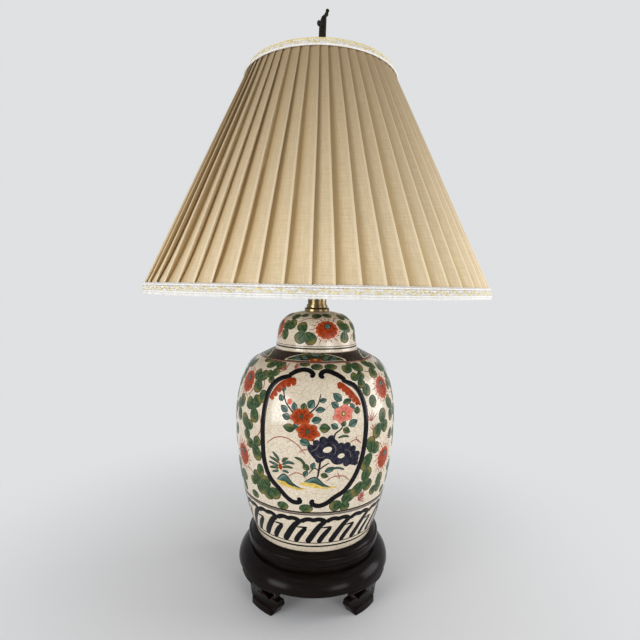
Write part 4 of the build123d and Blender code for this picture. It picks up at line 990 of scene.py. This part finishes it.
def pleated_cloth():
    """Knife pleats: at each height the fold's line is laid round the cone, its share of the pitch along
    the girth and its depth inwards; each pleat has its own width, depth and slow wander up the shade, and
    is pressed flatter by an exponential near both trims."""
    low, high = SHADE_LOW_Z + PLEAT_EDGE_GAP, SHADE_TOP_Z - PLEAT_EDGE_GAP
    z = np.linspace(low, high, PLEAT_ROWS)[:, None, None]
    share = (z - SHADE_LOW_Z) / SHADE_HEIGHT
    each = (1, PLEATS, 1)
    wide = DRAW.normal(0, WIDTH_SPREAD, each)
    deep = 1 + DRAW.normal(0, DEPTH_SPREAD, each)
    phase = DRAW.uniform(0, 2 * np.pi, each)
    wander = WANDER * np.sin(phase + WANDER_TURN * share) * np.sin(np.pi * share)
    p, d = PLEAT_LINE.T
    turn = 2 * np.pi / PLEATS * (np.arange(PLEATS).reshape(each) + wide + wander + p)
    depth = PLEAT_DEPTH_BOTTOM + (PLEAT_DEPTH_TOP - PLEAT_DEPTH_BOTTOM) * share
    depth = (depth + SWELL_IN_DEPTH * belly(z)) * deep
    over_trim = np.clip(z - TRIM_BOTTOM_Z - TRIM_BOTTOM_HEIGHT, 0, None)
    under_trim = np.clip(TRIM_TOP_Z - z, 0, None)
    pressed = 1 - PRESS_BOTTOM * np.exp(-over_trim / PRESS_BOTTOM_REACH)
    pressed = pressed - PRESS_TOP * np.exp(-under_trim / PRESS_TOP_REACH)
    r = cloth_r(z) - np.clip(depth * pressed * d, 0, LINING_DEPTH - PLEAT_LINING_GAP + belly(z))
    points = np.stack([r * np.cos(turn), r * np.sin(turn), z + 0 * r], -1)
    # The depth share rides as the wash, which sets the cloth's painted highlight at the outer edges and its
    # painted shade down the folds
    wash = np.broadcast_to(d, r.shape).reshape(PLEAT_ROWS, -1)
    return grid(points.reshape(PLEAT_ROWS, -1, 3), False, True, PLEAT_SPAN, wash)


pleats = piece(
    "pleated_cloth", [pleated_cloth()], FINISHES["shade_cloth"], "shade", ["shade_pleats"],
    sharp=PLEAT_SHARP,
)
thick = pleats.modifiers.new("cloth", "SOLIDIFY")
thick.thickness = CLOTH_T * MM
thick.offset = -1.0


def lining_cone():
    """Plain cone inside the pleats: straight lines between two circles, with its outer and inner faces."""
    z = np.linspace(SHADE_LOW_Z + LINING_EDGE_GAP, SHADE_TOP_Z - LINING_EDGE_GAP, 24)
    outer = np.column_stack([cone_r(z) - LINING_DEPTH - LINING_SHY, z])
    inner = np.column_stack([cone_r(z) - LINING_DEPTH - LINING_T + LINING_SHY, z])[::-1]
    return turned(np.vstack([outer, inner]), LINING_SEGMENTS, LINING_SPAN)


lining = piece("lining_cone", [lining_cone()], FINISHES["lining"], "shade", ["shade_lining"])


def tape(low, height):
    """Flat braid base: a thin band on the pleats' outer edges."""
    z = np.linspace(low, low + height, 6)
    outer = np.column_stack([cloth_r(z) + TAPE_SIT + TAPE_T, z])
    inner = np.column_stack([cloth_r(z) + TAPE_SIT, z])[::-1]
    return turned(np.vstack([outer, inner]), TAPE_SEGMENTS)


def braid(z, sit, cord, waves, swing, lift, phase=0.0):
    """Cord that swings up and down by a sine of so many waves, rising over its partner twice a wave."""
    a = np.linspace(0, 2 * np.pi, waves * 10, endpoint=False)
    height = z + swing * np.sin(waves * a + phase)
    return tube_ring(cloth_r(height) + sit + lift * np.cos(2 * (waves * a + phase)), height, cord, 6)


def picot(z, sit, cord, size):
    """Row of small loops on the cloth: the height leaves its line by the size of a sine."""
    a = np.linspace(0, 2 * np.pi, BOTTOM_PICOTS * 6, endpoint=False)
    height = z - size * np.abs(np.sin(BOTTOM_PICOTS * a / 2))
    return tube_ring(cloth_r(height) + sit, height, cord, 5)


def straight_cord(z, sit, cord, twists):
    """Edge cord: a ring whose surface swells with the turns of its twist."""
    a = np.linspace(0, 2 * np.pi, twists * 4, endpoint=False)
    b = np.linspace(0, 2 * np.pi, 8, endpoint=False)[:, None]
    size = cord * (1 + TWIST_SWELL * np.sin(twists * a + b))
    r, h = cloth_r(z) + sit + size * np.cos(b), z + size * np.sin(b)
    points = np.stack([r * np.cos(a), r * np.sin(a), h], -1)
    return grid(points, True, True, CORD_SPAN)


low, high = TRIM_BOTTOM_Z, TRIM_BOTTOM_Z + TRIM_BOTTOM_HEIGHT
trim_bottom = piece("trim_bottom_braid", [
    tape(low + 1.0, TRIM_BOTTOM_HEIGHT - 4.4),
    picot(high - 0.9, sit=0.7, cord=0.35, size=-0.7),
    straight_cord(high - 1.8, sit=0.9, cord=0.85, twists=BOTTOM_TWISTS),
    picot(high - 2.6, sit=0.5, cord=0.3, size=0.9),
    straight_cord(low + 3.5, sit=1.3, cord=0.95, twists=BOTTOM_TWISTS),
    straight_cord(low + 1.7, sit=1.2, cord=0.8, twists=BOTTOM_TWISTS),
    picot(low + 1.0, sit=0.9, cord=0.38, size=0.7),
    braid(high - 5.4, sit=0.9, cord=0.55, waves=150, swing=1.5, lift=0.3, phase=np.pi / 2),
    braid(high - 5.4, sit=0.9, cord=0.45, waves=97, swing=1.6, lift=0.3, phase=1.0),
], FINISHES["trim"], "shade", ["shade_trim_bottom"])
gold_bottom = piece("trim_bottom_gold", [
    braid(high - 5.4, sit=0.7, cord=0.8, waves=71, swing=1.4, lift=-0.5),
    braid(high - 5.6, sit=0.95, cord=0.35, waves=142, swing=1.2, lift=0.3),
], GOLD_THREAD, "shade")
low, high = TRIM_TOP_Z, TRIM_TOP_Z + TRIM_TOP_HEIGHT
trim_top = piece("trim_top_braid", [
    tape(low + 0.6, TRIM_TOP_HEIGHT - 1.2),
    straight_cord(low + 1.1, sit=1.4, cord=1.1, twists=TOP_TWISTS),
    braid(low + 5.4, sit=0.9, cord=0.55, waves=66, swing=1.5, lift=0.3, phase=np.pi / 2),
    braid(low + 5.4, sit=0.9, cord=0.45, waves=47, swing=1.5, lift=0.3, phase=1.0),
], FINISHES["trim"], "shade", ["shade_trim_top"])
gold_top = piece("trim_top_gold", [
    braid(low + 5.4, sit=0.7, cord=0.8, waves=31, swing=1.4, lift=-0.5),
    braid(low + 5.2, sit=0.95, cord=0.35, waves=62, swing=1.2, lift=0.3),
    straight_cord(high - 1.5, sit=0.8, cord=0.5, twists=TOP_TWISTS),
    straight_cord(high - 0.6, sit=0.5, cord=0.5, twists=TOP_TWISTS),
], GOLD_THREAD, "shade")


# Table, light and camera

FLOOR_R, FADE_NEAR, FADE_FAR = 6000.0, 100.0, 620.0
BACKDROP, AMBIENT, AMBIENT_STRENGTH = (0.74, 0.75, 0.76, 1.0), (0.97, 0.985, 1.0, 1.0), 0.45
CAMERA_PLACE, CAMERA_PITCH, CAMERA_ROLL, CAMERA_YAW = (4.0, -570.0, 376.4), 4.07, 1.0, -2.03
CAMERA_LENS, CAMERA_SENSOR, CAMERA_NEAR = 25.594, 36.0, 10.0


def seen_rays(tree):
    """One for rays from the camera, off gloss or through glass, and nought for the rest."""
    path = tree.nodes.new("ShaderNodeLightPath")
    seen = path.outputs["Is Camera Ray"]
    for ray in ("Is Glossy Ray", "Is Transmission Ray"):
        either = tree.nodes.new("ShaderNodeMath")
        either.operation = "MAXIMUM"
        tree.links.new(seen, either.inputs[0])
        tree.links.new(path.outputs[ray], either.inputs[1])
        seen = either.outputs[0]
    return seen


def floor_finish():
    """Pale floor that keeps the lamp's shadow and passes into the backdrop's colour away from it."""
    own = Finish("pale_floor", Roughness=0.6)
    spot = own.spot()
    pale = own.tones(own.noise(spot, 1.5, 2.0), (0.86, 0.86, 0.87), (0.89, 0.89, 0.90), 0.3, 0.7)
    own.put("Base Color", pale)
    reach = own.add("VectorMath", {0: spot}, operation="LENGTH").outputs["Value"]
    ends = {"From Min": FADE_NEAR * MM, "From Max": FADE_FAR * MM}
    far = own.add("MapRange", {"Value": reach, **ends}, interpolation_type="SMOOTHSTEP").outputs[0]
    fade = own.join("MULTIPLY", far, seen_rays(own.tree))
    shown = own.add("Emission", {"Color": BACKDROP}).outputs[0]
    both = own.add("MixShader", {0: fade, 1: own.base.outputs[0], 2: shown}).outputs[0]
    own.tree.links.new(both, own.tree.nodes["Material Output"].inputs["Surface"])
    return own.made


def stage_floor():
    """Pale floor: a disc of rings whose radius grows evenly from the lamp's axis."""
    r = np.linspace(0.0, FLOOR_R, 24)[::-1, None]
    a = np.linspace(0, 2 * np.pi, 96, endpoint=False)
    points = np.stack([r * np.cos(a), r * np.sin(a), 0 * r * a], -1) * MM
    corners, _ = cells(*points.shape[:2], False, True)
    mesh = bpy.data.meshes.new("floor")
    mesh.from_pydata(points.reshape(-1, 3).tolist(), [], corners.tolist())
    weld(mesh)
    mesh.materials.append(floor_finish())
    floor = bpy.data.objects.new("floor", mesh)
    bpy.context.scene.collection.objects.link(floor)


def studio_world():
    """Even pale light, with the backdrop's colour for the rays that show it."""
    world = bpy.data.worlds.new("studio")
    bpy.context.scene.world = world
    world.use_nodes = True
    tree = world.node_tree
    ambient, shown = tree.nodes["Background"], tree.nodes.new("ShaderNodeBackground")
    ambient.inputs["Color"].default_value = AMBIENT
    ambient.inputs["Strength"].default_value = AMBIENT_STRENGTH
    shown.inputs["Color"].default_value = BACKDROP
    either = tree.nodes.new("ShaderNodeMixShader")
    for place, socket in enumerate((seen_rays(tree), ambient.outputs[0], shown.outputs[0])):
        tree.links.new(socket, either.inputs[place])
    tree.links.new(either.outputs[0], tree.nodes["World Output"].inputs["Surface"])


def stand(made, axes_and_place):
    """Puts an object in the scene: three columns are its right, up and back, and the fourth its place."""
    made.matrix_world = Matrix(np.vstack([axes_and_place, [0, 0, 0, 1]]).tolist())
    bpy.context.scene.collection.objects.link(made)


def softbox(name, place, aim_z, size, power):
    """Square area lamp at a place, facing a height on the lamp's axis."""
    light = bpy.data.lights.new(name, "AREA")
    light.energy, light.size = power, size * MM
    made = bpy.data.objects.new(name, light)
    back = np.array(place) - (0, 0, aim_z)
    back = back / np.linalg.norm(back)
    side = np.cross((0, 0, 1), back)
    side /= np.linalg.norm(side)
    stand(made, np.column_stack([side, np.cross(back, side), back, np.array(place) * MM]))
    made.visible_camera = False


def photo_camera():
    """Camera at the photo's place: pitched down, rolled, and turned about the lamp's axis."""
    pitch, roll, yaw = np.radians([CAMERA_PITCH, CAMERA_ROLL, CAMERA_YAW])
    right, up = np.array([1, 0, 0]), np.array([0, np.sin(pitch), np.cos(pitch)])
    back = np.array([0, -np.cos(pitch), np.sin(pitch)])
    right, up = np.cos(roll) * right + np.sin(roll) * up, np.cos(roll) * up - np.sin(roll) * right
    spin = np.array([[np.cos(yaw), -np.sin(yaw), 0], [np.sin(yaw), np.cos(yaw), 0], [0, 0, 1]])
    data = bpy.data.cameras.new("photo_camera")
    data.lens, data.sensor_width, data.clip_start = CAMERA_LENS, CAMERA_SENSOR, CAMERA_NEAR * MM
    made = bpy.data.objects.new("photo_camera", data)
    stand(made, spin @ np.column_stack([right, up, back, np.array(CAMERA_PLACE) * MM]))
    bpy.context.scene.camera = made


stage_floor()
studio_world()
softbox("window_left", (-1050, -900, 320), 330, 600, 9.2)
softbox("window_right", (750, -1050, 320), 330, 500, 4.9)
softbox("wall_right", (1300, 0, 380), 400, 700, 8.2)
photo_camera()
bpy.context.scene.view_settings.view_transform = "Standard"
